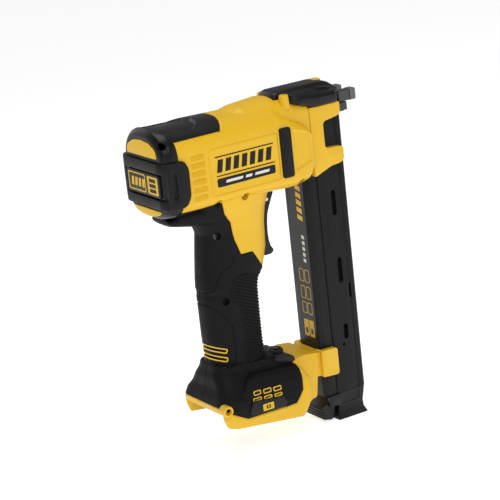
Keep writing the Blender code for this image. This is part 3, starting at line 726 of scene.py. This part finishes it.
def side_region(outline):
    """A block that has the outline when seen from the side."""
    return prism(outline, "Y", -FAR, FAR)


def cap_region():
    """Everything behind the cap's shut line, and its tongue."""
    region = box((-FAR, CAP_JOINT), (-FAR, FAR), (187.5, 300.0))
    return join(region, prism(tongue_outline(), "Z", TONGUE_Z, 300.0))


SCREW_HOLES = (             # casing screw recesses: x, z, floor in y, radius
    (-17.0, 197.0, -24.5, 3.6), (10.0, 197.0, -24.5, 3.6), (66.0, 196.5, -24.5, 3.4),
    (-14.5, 166.3, -15.5, 3.3), (-13.5, 109.5, -15.5, 3.3), (-62.0, 254.6, -22.0, 2.9),
)
BATTERY_SLOT = ((-70.0, -20.0), (28.0, -20.0), (28.0, 12.7), (-70.0, 20.6))
ABOVE_NECK = [(FAR, 126.5), (FAR, 300.0), (CAP_JOINT, 300.0)]
ABOVE_GRIP = [(FAR, 126.5), (FAR, 300.0), (-FAR, 300.0), (-FAR, 188.0), (CAP_JOINT, 188.0)]
ABOVE_FOOT = COVER_LINE + [(FAR, 60.0), (FAR, 300.0), (-FAR, 300.0)]


def casing_body():
    """The whole moulded body, hollowed and with its openings."""
    parts = [barrel(BULGE), barrel(RIDGE), handle(), tail(), foot(FOOT), foot(BLOCK)]
    body = carve(fused(parts, VOXEL, SMOOTH_ROUNDS), casing_field)
    cut(body, barrel(BULGE, 3.0, 3.0), handle(5.0, 50.0, 190.0))
    for x, z, floor, radius in SCREW_HOLES:
        cut(body, rod("Y", (x, z), (-60.0, floor), radius))
    cut(body, box((27.0, 53.0), (-8.2, 8.2), (127.0, 194.0)))  # trigger
    cut(body, box((55.6, FAR), (-12.5, 12.5), (265.6, 300.0)))  # top cover
    cut(body, box((60.0, FAR), (-14.0, 14.0), (245.2, 248.6)))  # driver blade
    cut(body, box((75.2, FAR), (-16.3, 16.3), (150.0, 260.0)))  # magazine
    return cut(body, prism(BATTERY_SLOT, "Y", -29.5, 29.5))


def casings():
    """Cap, yellow halves, rubber grips and skirts, cut from one moulded body."""
    body = casing_body()
    piece(common(copy(body), cap_region()), "motor_cap", BLACK, ("rear_cap",), smooth=40)
    shell = common(copy(body), side_region(NECK_LINE + ABOVE_NECK))
    cut(shell, cap_region())
    sleeve = cut(copy(body), side_region(NECK_LINE + ABOVE_GRIP))
    common(sleeve, side_region(ABOVE_FOOT))
    skirt = cut(body, side_region(ABOVE_FOOT))
    for name, side in SIDES:
        span = side_span(side, 0.0, FAR)
        for source, label, paint, node in (
                (shell, "barrel_shell_", YELLOW, "housing_"),
                (skirt, "foot_skirt_", YELLOW, "housing_"),
                (sleeve, "grip_sleeve_", GRIP, "grip_")):
            half = common(copy(source), box((-FAR, FAR), span, (-FAR, 2 * FAR)))
            piece(half, label + name, paint, (node + name,), smooth=40)
    for left in (shell, skirt, sleeve):
        bpy.data.objects.remove(left, do_unlink=True)


# -------- trim and marks

BAND_OUT = [(-50.0, 34.6), (-61.0, 34.8), (-66.8, 31.8), (-69.2, 26.0)]
BAND_IN = [(-50.0, 31.8), (-60.0, 31.5), (-64.0, 29.0), (-65.6, 24.0)]
BANDS = (("upper", 232.8, 240.9), ("lower", 202.6, 210.6))
PAD_LINE = [(-65.0, 203.4), (-49.0, 203.4), (-44.6, 211.0), (-44.2, 234.0), (-48.0, 241.2), (-65.0, 241.2)]
INLAYS = (
    ("upper", [(-23.5, 244.2), (23.5, 244.2), (21.5, 251.5), (12.0, 256.2), (0.0, 257.4), (-12.0, 256.2),
               (-21.5, 251.5)]),
    ("lower", [(-22.0, 200.4), (22.0, 200.4), (18.0, 196.6), (9.0, 194.6), (0.0, 194.0), (-9.0, 194.6),
               (-18.0, 196.6)]),
)
BADGE_FACE = -68.2
BADGE_SPAN = (214.3, 229.4)
FLANK_SPAN = (-18.0, 38.5)
FLANK_RULES = (("top", 236.2, 237.2), ("low", 220.3, 221.2))
FLANK_DASHES = ((-10.0, 6.0), (9.0, 15.0), (18.0, 32.0))


def ring(outline, inner, axis, low, high):
    """A flat frame: one outline with another cut out of it."""
    return cut(prism(outline, axis, low, high), prism(inner, axis, low - 5.0, high + 5.0))


def rect_ring(a, b, rim, radii, axis, low, high, steps=3):
    """A rounded rectangular frame with an even rim."""
    inner = rounded_rect((a[0] + rim, a[1] - rim), (b[0] + rim, b[1] - rim), radii[1], steps)
    return ring(rounded_rect(a, b, radii[0], steps), inner, axis, low, high)


def slanted(start, low, high, width, slant=0.0):
    """Outline of an upright bar that leans by the slant."""
    return [(start, low), (start + width, low), (start + width + slant, high), (start + slant, high)]


def mirrored(points):
    """The same points on the other side, in reverse."""
    return [(x, -y) for x, y in reversed(points)]


def lean(obj, height, slope, side):
    """Tilt a flat side piece with the wall that it sits on."""
    for vert in obj.data.vertices:
        vert.co.y -= side * slope * (vert.co.z - height)
    return obj


def rear_trim():
    """Rubber bands round the rear, side pads, badge plate and yellow inlays."""
    outer = BAND_OUT + mirrored(BAND_OUT)
    inner = BAND_IN + mirrored(BAND_IN)
    outline = rounded(outer + inner[::-1], 2.0, 4)
    for name, low, high in BANDS:
        band = bevelled(prism(outline, "Z", low, high), 0.9)
        piece(band, "rear_band_" + name, RUBBER, ("rear_bumper_" + name,))
    recess = rounded_rect((-61.2, -56.6), (211.5, 233.0), 1.6)
    for name, side in SIDES:
        pad = prism(rounded(PAD_LINE, 3.0), "Y", *side_span(side, 31.2, 35.2))
        cut(pad, prism(recess, "Y", *side_span(side, 33.9, 40.0)))
        piece(bevelled(pad, 0.8), "side_pad_" + name, RUBBER, ("rear_pad_" + name,))
    badge()
    for name, outline in INLAYS:
        inlay = bevelled(prism(rounded(outline, 2.5), "X", -67.2, -63.0), 0.8)
        piece(inlay, f"rear_inlay_{name}_cap", YELLOW, (f"rear_inlay_{name}",))


def badge():
    """Plate on the rear, with plain marks on it."""
    plate = prism(rounded_rect((-26.0, 24.5), (212.3, 231.2), 2.0), "X", BADGE_FACE, -65.5)
    piece(bevelled(plate, 0.5), "badge_plate", BLACK, ("rear_badge",))
    span = (BADGE_FACE - 0.25, BADGE_FACE + 0.2)
    piece(rect_ring((-4.4, 22.6), BADGE_SPAN, 1.0, (1.4, 1.0), "X", *span, 6), "badge_frame", YELLOW_INK)
    piece(prism(rounded_rect((-23.8, -7.6), BADGE_SPAN, 1.2), "X", *span), "badge_block", YELLOW_INK)
    for i in range(4):
        outline = slanted(18.0 - 5.6 * i, 218.3, 225.4, -3.4, -1.0)
        bar = prism(outline, "X", BADGE_FACE - 0.3, BADGE_FACE + 0.1)
        piece(bar, f"badge_bar_{i + 1}", YELLOW_INK)
    for i in range(3):
        z = 216.0 + 4.3 * i
        field = prism(rounded_rect((-20.6, -10.8), (z, z + 2.9), 0.5), "X", BADGE_FACE - 0.4, BADGE_FACE)
        piece(field, f"badge_field_{i + 1}", INK)


def flank_trim():
    """Black bars and plain marks on the barrel's sides."""
    start, end = FLANK_SPAN
    for name, side in SIDES:
        bar = prism(rounded_rect((45.2, 56.2), (204.6, 247.0), 2.4), "Y", *side_span(side, 31.5, 35.0))
        piece(bevelled(bar, 1.0), "flank_bar_" + name, RUBBER, ("side_bumper_" + name,))
        span = side_span(side, 32.8, 33.14)
        for label, low, high in FLANK_RULES:
            rule = prism(slanted(start, low, high, end - start), "Y", *span)
            piece(rule, f"flank_line_{label}_{name}", INK)
        for i in range(7):
            mark = prism(slanted(-17.5 + 7.9 * i, 223.6, 234.2, 5.0, 2.0), "Y", *span)
            piece(mark, f"flank_mark_{name}_{i + 1}", INK)
        band = rounded([(start, 218.6), (start, 211.4), (end, 211.4), (end, 218.6)], 1.8)
        piece(prism(band, "Y", *span), "flank_band_" + name, FILM)
        for i, (a, b) in enumerate(FLANK_DASHES):
            dash = prism(slanted(a, 214.0, 216.2, b - a, 0.9), "Y", *side_span(side, 33.0, 33.22))
            piece(dash, f"flank_dash_{name}_{i + 1}", PALE_INK)


# -------- nose

YOKE_LINE = [
    (84.2, 194.8), (94.0, 198.4), (101.4, 201.2), (111.0, 202.0), (115.0, 204.4), (115.4, 214.6),
    (113.0, 216.4), (98.4, 217.4), (97.0, 219.4), (97.0, 238.6), (98.4, 240.6), (113.0, 243.0),
    (115.2, 245.0), (115.2, 254.6), (84.2, 254.6),
]
GUARD_SECTIONS = (          # distance from the middle, side outline
    (12.6, ((66.0, 262.0), (72.5, 257.5), (90.0, 254.6), (113.0, 254.6), (114.6, 259.5), (113.2, 265.8),
            (87.0, 270.2), (68.0, 270.4))),
    (21.4, ((68.0, 262.5), (73.2, 259.6), (90.4, 253.9), (112.8, 254.0), (114.0, 258.6), (112.4, 264.4),
            (88.4, 265.2), (70.0, 267.8))),
    (24.6, ((74.5, 261.6), (76.0, 260.4), (91.0, 255.6), (110.4, 255.8), (111.2, 258.4), (110.2, 262.2),
            (89.6, 262.8), (76.0, 264.6))),
)
TOP_COVER = (               # x, half width, bottom, top
    (56.2, 11.0, 265.9, 268.6),
    (58.6, 12.0, 265.9, 271.2),
    (62.0, 12.0, 265.9, 272.0),
    (104.0, 12.0, 263.0, 271.9),
    (113.0, 11.8, 262.4, 270.4),
    (119.0, 11.0, 262.4, 266.6),
)
BOSS_PLACE = (63.6, 16.8)
BOSS_TOP = {-1: 269.9, 1: 268.0}


def trip_space():
    """Room for the contact trip to slide back in."""
    return box((89.6, 130.0), (-14.5, 14.5), (249.0, 261.0))


def nose():
    """Yellow yoke round the magazine head, guards and top cover."""
    yoke = prism(rounded(YOKE_LINE, 1.6, 4), "Y", -22.0, 22.0)
    cut(yoke, box((80.0, 130.0), (-16.3, 16.3), (150.0, 250.4)), trip_space())
    piece(bevelled(yoke, 1.5, 4), "nose_yoke", YELLOW, ("nose_frame",))
    guards()
    rings = []
    for x, half, low, high in TOP_COVER:
        drop = min(2.4, (high - low) * 0.45)
        rings.append([(x, -half, low), (x, half, low), (x, half, high - drop), (x, half - 3.4, high),
                      (x, 3.4 - half, high), (x, -half, high - drop)])
    piece(bevelled(loft(rings), 0.7, 3, 20), "nose_cover", BLACK, ("top_cover",))
    insert = prism(rounded_rect((106.0, 114.5), (1.5, 10.0), 1.5), "Z", 268.0, 271.4)
    piece(bevelled(insert, 0.5), "cover_insert", YELLOW)


def guards():
    """Black guard each side of the top cover, with a screw boss behind it."""
    for name, side in SIDES:
        rings = [[(x, side * y, z) for x, z in outline] for y, outline in GUARD_SECTIONS]
        guard = cut(bevelled(loft(rings), 0.8, 2, 14), trip_space())
        piece(guard, "guard_" + name, BLACK, ("nose_guard_" + name,), smooth=22)
        centre = (BOSS_PLACE[0], side * BOSS_PLACE[1])
        top = BOSS_TOP[side]
        boss = turned("Z", centre, ((258.0, 4.8), (top - 3.0, 4.2), (top - 0.7, 3.9), (top, 3.2)), 28)
        cut(boss, rod("Z", centre, (265.5, 275.0), 2.2, 20))
        piece(bevelled(boss, 0.4), "guard_boss_" + name, YELLOW)
        head = turned("Z", centre, ((264.5, 2.1), (266.2, 2.1), (266.7, 1.5)), 20)
        piece(head, "guard_screw_" + name, OXIDE)


# -------- magazine

RAIL_SIDE = [
    (75.5, 0.0), (75.5, 14.2), (76.9, 15.6), (78.6, 16.0), (79.0, 15.5), (79.8, 15.5), (80.2, 16.0),
    (87.6, 16.0), (88.4, 15.3), (89.1, 15.3), (89.1, 13.6), (78.2, 13.6), (78.2, 0.0),
]
COVER_SIDE = [
    (119.0, 0.0), (119.0, 13.8), (118.4, 15.2), (116.9, 16.0), (113.0, 16.0), (112.5, 15.4), (111.7, 15.4),
    (111.2, 16.0), (90.3, 16.0), (89.5, 15.4), (89.5, 14.3), (117.3, 14.3), (117.3, 0.0),
]
WINDOWS = (                 # middle x, bottom, top, half width
    (104.0, 44.5, 58.3, 2.3), (104.0, 95.4, 118.5, 2.3), (104.0, 156.0, 178.5, 2.3), (112.2, 80.0, 93.4, 1.1),
)
SHOE = (                    # z, rear, front, half width
    (-2.3, 90.2, 118.2, 15.9),
    (-8.0, 90.2, 117.4, 15.6),
    (-15.0, 89.6, 115.6, 15.7),
    (-20.5, 88.4, 115.6, 16.5),
    (-24.0, 87.4, 117.4, 17.6),
    (-26.0, 87.2, 118.2, 18.0),
)
EAR_LINE = [(79.6, -12.4), (92.0, -12.4), (92.0, -2.6), (79.6, -2.6)]
LATCH_LINE = [(73.5, -23.0), (82.0, -25.0), (86.3, -23.0), (86.3, -5.4), (81.0, -3.4), (77.8, -9.6),
              (73.5, -12.0)]
LATCH_PIN = (83.5, -7.0)
RAIL_FACE = 75.5
MARK_COLUMNS = ((-10.2, -3.4), (-2.4, 4.4))
MARK_ROWS = ((101.0, 112.5), (85.5, 97.0), (72.0, 82.5))


def extruded(half_outline, low, high):
    """A drawn section: half an outline in x and y, mirrored, run along z."""
    return prism(half_outline + mirrored(half_outline[1:-1]), "Z", low, high)


def stadium(middle, low, high, half, steps=10):
    """A slot outline with round ends."""
    points = []
    for sign, centre in ((1, high - half), (-1, low + half)):
        for i in range(steps + 1):
            angle = math.pi / steps * i
            points.append((middle + sign * half * math.cos(angle), centre + sign * half * math.sin(angle)))
    return points


def magazine():
    """Drawn aluminium rail and sliding cover, with shoe, latch and marks."""
    rail = bevelled(extruded(RAIL_SIDE, -2.0, 244.4), 0.22, 2)
    for side in (-1, 1):
        for z in (82.0, 94.0):
            cut(rail, rod("Y", (88.6, z), side_span(side, 15.0, 20.0), 0.8, 10))
    piece(rail, "rail_section", ANODISED, ("magazine_rail",))
    cover = bevelled(extruded(COVER_SIDE, -2.0, 243.0), 0.25, 2)
    for window in WINDOWS:
        cut(cover, prism(stadium(*window), "Y", -30.0, 30.0))
    cut(cover, rod("Y", (100.6, 40.2), (-30.0, 30.0), 1.3, 16))
    piece(cover, "cover_section", ANODISED, ("magazine_cover",), "magazine")
    shoe = loft([[(a, b, z) for a, b in rounded_rect((rear, front), (-half, half), 1.6, 3)]
                 for z, rear, front, half in SHOE])
    for side in (-1, 1):
        join(shoe, prism(rounded(EAR_LINE, 2.0), "Y", *side_span(side, 14.2, 16.8)))
        cut(shoe, box((92.5, 112.0), side_span(side, 15.1, 20.0), (-13.0, -4.5)))
    piece(bevelled(shoe, 0.5), "magazine_shoe", BLACK, ("magazine_foot",), "magazine", smooth=30)
    latch = prism(rounded(LATCH_LINE, 1.2, 3), "Y", -13.5, 13.5)
    for i in range(4):
        z = -22.3 + 2.6 * i
        cut(latch, prism([(70.0, z), (74.4, z + 0.2), (74.4, z + 1.2), (70.0, z + 1.5)], "Y", -20.0, 20.0))
    cut(latch, rod("Y", LATCH_PIN, (-20.0, 20.0), 1.8, 16))
    piece(bevelled(latch, 0.35, 2), "latch_lever", BLACK, ("magazine_latch",), "latch")
    rail_marks()


def rail_marks():
    """A dark film on the rail's rear face, with plain marks."""
    film = prism(rounded_rect((-13.5, 9.0), (46.0, 238.0), 1.2), "X", RAIL_FACE - 0.12, RAIL_FACE + 0.2)
    piece(film, "rail_film", FILM)
    over = (RAIL_FACE - 0.22, RAIL_FACE)
    for i in range(7):
        z = 156.0 + 6.6 * i
        bar = prism([(-9.0, z), (-1.5, z + 1.6), (-1.5, z + 5.8), (-9.0, z + 4.2)], "X", *over)
        piece(bar, f"rail_mark_{i + 1}", YELLOW_INK)
    for i in range(5):
        z = 119.0 + 5.2 * i
        dash = prism([(-8.2, z), (-4.6, z + 0.5), (-4.6, z + 3.6), (-8.2, z + 3.1)], "X", *over)
        piece(dash, f"rail_dash_{i + 1}", PALE_INK)
    for i, row in enumerate(MARK_ROWS):
        for k, column in enumerate(MARK_COLUMNS):
            field = rect_ring(column, row, 0.6, (1.5, 1.0), "X", *over)
            piece(field, f"rail_field_{i + 1}_{k + 1}", YELLOW_INK)
    for k, (a, b) in enumerate(MARK_COLUMNS):
        hole = rounded_rect((a + 1.6, b - 1.6), (54.0, 59.0), 0.6, 3)
        block = ring(rounded_rect((a, b), (51.5, 66.5), 0.8, 3), hole, "X", *over)
        piece(block, f"rail_block_{k + 1}", YELLOW_INK)


# -------- trigger, bracket and foot fittings

TRIGGER_FRONT = [
    (44.0, 190.6), (50.8, 190.6), (50.2, 187.0), (47.4, 181.5), (44.8, 176.0), (42.6, 170.4), (41.4, 163.0),
    (40.9, 155.0), (41.3, 148.0), (42.7, 142.6), (45.2, 138.8), (44.6, 137.0), (42.0, 135.6),
]
TRIGGER_BACK = [(35.2, 135.6), (34.0, 140.0), (33.6, 150.0), (33.8, 168.0), (36.0, 180.0), (37.5, 190.6)]
TRIGGER_MIDDLE = 37.5
TRIGGER_PIN = (41.0, 184.0)
TRIGGER_EASING = ((-7.6, 0.16), (-7.0, 0.05), (-5.6, 0.0), (5.6, 0.0), (7.0, 0.05), (7.6, 0.16))
ARM_LINE = [(42.6, 0.4), (46.8, 0.1), (64.7, 3.3), (69.1, 34.2), (69.1, 42.4), (55.0, 44.2), (47.0, 43.0),
            (42.6, 40.0)]
CLAMP_LINE = [(73.2, 18.4), (88.6, 17.6), (90.0, 19.4), (90.0, 40.2), (88.4, 41.8), (73.2, 42.2)]
LAMP = (37.6, 0.0)
HOOD_LINE = [(20.0, 38.0), (20.0, 45.5), (24.0, 48.2), (43.6, 47.4), (46.2, 45.4), (46.6, 38.0)]
HOOK_BOSS = (-34.6, 22.6)
PANEL_LINE = [(-15.0, 15.8), (-10.0, 25.2), (19.6, 22.2), (23.4, 15.6), (20.6, 11.4), (-13.0, 13.4)]
VENTS = (                   # bottom and top of a row, spans of its vents
    (28.6, 32.4, ((-8.0, -0.8), (1.6, 9.4), (11.6, 19.4))),
    (23.9, 26.6, ((-9.6, -1.2), (1.2, 9.2), (11.4, 19.2))),
)
GRIP_SLOT_RIM = 2.2
GRIP_SLOT_GAP = 1.2


def trigger():
    """Curved trigger blade with a rounded finger face."""
    rings = []
    for y, pull in TRIGGER_EASING:
        level = []
        for x, z in TRIGGER_FRONT + TRIGGER_BACK:
            share = 1.0 if x > TRIGGER_MIDDLE else 0.4
            level.append((x - (x - TRIGGER_MIDDLE) * pull * share, y, z))
        rings.append(level)
    blade = cut(loft(rings), rod("Y", TRIGGER_PIN, (-20.0, 20.0), 1.8, 20))
    piece(bevelled(blade, 0.25, 2, 40), "trigger_blade", BLACK, ("trigger",), "trigger", smooth=50)


def bracket():
    """Yellow arm from the foot to the magazine, with a clamp block each side of the rail."""
    arm = bevelled(prism(rounded(ARM_LINE, 2.0, 3), "Y", -21.0, 21.0), 1.6, 4, 20)
    join(arm, bevelled(box((60.0, 80.0), (-18.6, 18.6), (19.6, 41.4)), 1.2))
    for side in (-1, 1):
        block = prism(rounded(CLAMP_LINE, 1.4, 3), "Y", *side_span(side, 12.0, 21.3))
        join(arm, bevelled(block, 1.3))
    cut(arm, box((75.2, 130.0), (-16.3, 16.3), (-20.0, 80.0)))
    piece(arm, "bracket_arm", YELLOW, ("magazine_bracket",))


def lamp():
    """Boxy hood with a ringed lens over the work lamp."""
    hood = bevelled(prism(rounded(HOOD_LINE, 2.0, 3), "Y", -20.0, 20.0), 2.4, 4, 25)
    join(hood, turned("Z", LAMP, ((44.0, 9.4), (49.0, 8.8), (49.6, 8.1)), 40))
    cut(hood, rod("Z", LAMP, (48.1, 60.0), 6.7, 40))
    piece(hood, "lamp_housing", BLACK, ("lamp_hood",), smooth=25)
    dome = turned("Z", LAMP, ((47.6, 6.4), (49.0, 6.3), (49.9, 5.2), (50.4, 3.4), (50.5, 1.2)), 40)
    piece(dome, "lamp_dome", FILM, ("lamp_lens",), smooth=60)


def foot_trim():
    """Indicator panel and hook boss on the right, and rimmed vents on both sides of the foot."""
    panel = prism(rounded(PANEL_LINE, 1.6, 4), "Y", -38.9, -36.2)
    piece(bevelled(panel, 0.7), "indicator_plate", BLACK, ("indicator_panel",))
    hole = rounded_rect((1.6, 6.0), (15.4, 18.6), 0.5, 3)
    rim = ring(rounded_rect((-1.6, 9.2), (14.0, 20.0), 0.9, 3), hole, "Y", -39.2, -38.7)
    piece(rim, "indicator_rim", YELLOW_INK)
    boss = turned("Y", HOOK_BOSS, ((-30.0, 4.8), (-37.4, 4.8), (-38.0, 4.2)), 32)
    cut(boss, rod("Y", HOOK_BOSS, (-45.0, -33.0), 2.9, 24))
    piece(bevelled(boss, 0.4), "hook_boss", YELLOW)
    dot = prism(rounded_rect((3.1, 4.5), (16.2, 17.8), 0.4, 3), "Y", -39.15, -38.7)
    piece(dot, "indicator_dot", YELLOW_INK)
    for name, side in SIDES:
        for row, (low, high, spans) in enumerate(VENTS):
            for i, (a, b) in enumerate(spans):
                drop = FOOT_TILT * (a + b) / 2
                lip = rect_ring((a, b), (low + drop, high + drop), 0.7, (0.9, 0.5), "Y",
                                *side_span(side, 35.5, 37.75))
                piece(lean(lip, 25.0, 0.17, side), f"vent_rim_{name}_{row + 1}_{i + 1}", YELLOW)


def slot_outline(start, end, half):
    """A long rounded slot between two points."""
    a, b = Vector(start), Vector(end)
    along = (b - a).normalized()
    across = Vector((-along.y, along.x)) * half
    tip = b + along * half * 0.4
    corners = (a + across, tip + across, tip - across, a - across)
    return rounded([(p.x, p.y) for p in corners], half * 0.8, 4)


def grip_slots():
    """Yellow lining of the slots low at the rear of the grip."""
    for i, (start, end) in enumerate(GRIP_SLOTS):
        lining = cut(handle(-0.25, 50.0, 100.0), handle(1.6, 28.0, 120.0))
        common(lining, side_region(slot_outline(start, end, GRIP_SLOT_RIM)))
        cut(lining, side_region(slot_outline(start, end, GRIP_SLOT_GAP)))
        piece(lining, f"grip_slot_lining_{i + 1}", YELLOW)


# -------- springs and small CAD parts

SPRINGS = (                 # name, joint, body, axis, centre, ends, radius, wire, turns, share left when shut
    ("drive_spring", "hammer_stroke", "housing", "X", (0.0, 251.0), (-45.0, 43.7), 5.4, 0.9, 13, 0.60),
    ("contact_trip_spring", "trip_press", "housing", "X", (0.0, 258.4), (84.6, 97.7), 2.4, 0.4, 7, 0.42),
    ("pusher_spring", "pusher_feed", "magazine", "Z", (101.5, 0.0), (3.4, 211.6), 3.6, 0.55, 26, 0.32),
    ("trigger_spring", "trigger_pull", "housing", "X", (0.0, 158.0), (23.4, 33.2), 2.4, 0.4, 6, 0.58),
)
COIL_STEPS = 20             # points along one turn
WIRE_SIDES = 8
EASED_NODES = {             # edge widths of small CAD parts shown as they are
    "contact_trip": 0.6, "trip_tip_right": 0.8, "trip_tip_left": 0.8, "nosepiece": 0.5,
    "terminal_block": 0.5, "pusher": 0.4, "staple_track": 0.3, "trigger_pin": 0.2, "latch_pin": 0.2,
    "hammer": 0.5, "terminal_blade_positive": 0.15, "terminal_blade_negative": 0.15,
}


def coil(axis, centre, ends, radius, wire, turns):
    """A round wire wound evenly between two ends."""
    steps = turns * COIL_STEPS
    start, end = ends[0] + wire, ends[1] - wire
    rings = []
    for i in range(steps + 1):
        turn = 2 * math.pi * i / COIL_STEPS
        along = start + (end - start) * i / steps
        section = []
        for a, b in circle(radius, along, wire, WIRE_SIDES):
            section.append(PLACE[axis](centre[0] + a * math.cos(turn), centre[1] + a * math.sin(turn), b))
        rings.append(section)
    return loft(rings)


def springs():
    """Coiled springs, each hung on its body."""
    for name, joint, body, axis, centre, ends, radius, wire, turns, left in SPRINGS:
        made = coil(axis, centre, ends, radius, wire, turns)
        piece(made, name + "_coil", STEEL, (name,), body, smooth=60)
        anchor = Vector(PLACE[axis](*centre, ends[0])) - Vector((0.0, 0.0, SEAT))
        direction = PLACE[axis](0.0, 0.0, 1.0)
        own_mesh(made)


def ease_edges():
    """Bevels on the CAD parts that are shown unchanged."""
    for name, width in EASED_NODES.items():
        add_bevel(frame["nodes"][name], width, 3, 30, 0.001)


# -------- stage, in metres

FLOOR_Z = -0.0412
FLOOR_REACH = 9.0
LIGHT_TARGET = Vector((0.02, 0.0, 0.11))
LIGHTS = (                  # name, place, size, power
    ("key", (-0.55, -0.95, 0.95), 0.6, 6.4),
    ("fill", (0.75, -0.85, 0.45), 0.8, 1.6),
    ("top", (0.0, 0.1, 1.1), 0.6, 4.0),
    ("back", (-0.2, 0.9, 0.6), 0.8, 2.2),
)
CAMERA_LENS = 154.8
CAMERA_PLACE = (-0.8766, -1.4835, 0.6387)
CAMERA_RIGHT = Vector((0.83357372, -0.5426719, -0.10325724))
CAMERA_UP = Vector((0.23817404, 0.18441017, 0.95355441))
CAMERA_BACK = Vector((-0.4984255, -0.8194511, 0.28296983))


def linked(name, data):
    """A scene object around a light or a camera."""
    obj = bpy.data.objects.new(name, data)
    bpy.context.scene.collection.objects.link(obj)
    return obj


def lay_floor():
    """Plain pale floor, bright enough to read as white paper."""
    corners = [(-1, -1), (1, -1), (1, 1), (-1, 1)]
    points = [(a * FLOOR_REACH, b * FLOOR_REACH, FLOOR_Z) for a, b in corners]
    floor = new_object(points, [(0, 1, 2, 3)], "floor")
    made, add, shade = node_tree("pale_floor")
    cloud = noise(add, coordinates(add), 3.0, 2.0)
    shade({
        "Base Color": blend(add, cloud, (0.86, 0.86, 0.86), (0.90, 0.90, 0.90)),
        "Roughness": 0.8,
        "Specular IOR Level": 0.1,
        "Emission Color": (1.0, 1.0, 1.0, 1.0),
        "Emission Strength": 0.7,
    })
    floor.data.materials.append(made)


def light_scene():
    """Even white surroundings and four soft lights."""
    world = bpy.data.worlds.new("studio")
    bpy.context.scene.world = world
    world.use_nodes = True
    background = world.node_tree.nodes["Background"]
    background.inputs["Color"].default_value = (1.0, 1.0, 1.0, 1.0)
    background.inputs["Strength"].default_value = 0.26
    for name, place, size, power in LIGHTS:
        light = bpy.data.lights.new(name, "AREA")
        light.size = size
        light.energy = power
        stand = linked(name, light)
        stand.location = place
        stand.rotation_euler = (Vector(place) - LIGHT_TARGET).to_track_quat("Z", "Y").to_euler()


def aim_camera():
    """Camera at the angle of the reference view."""
    lens = bpy.data.cameras.new("camera")
    lens.lens = CAMERA_LENS
    lens.sensor_width = 36.0
    lens.clip_start = 0.05
    lens.clip_end = 20.0
    camera = linked("camera", lens)
    turn = Matrix((CAMERA_RIGHT, CAMERA_UP, CAMERA_BACK)).transposed().to_4x4()
    camera.matrix_world = Matrix.Translation(CAMERA_PLACE) @ turn
    bpy.context.scene.camera = camera
    bpy.context.scene.view_settings.view_transform = "Standard"


paint_cad()
for build in (casings, rear_trim, flank_trim, nose, magazine, trigger, bracket, lamp, foot_trim, grip_slots,
              springs, ease_edges, lay_floor, light_scene, aim_camera):
    build()
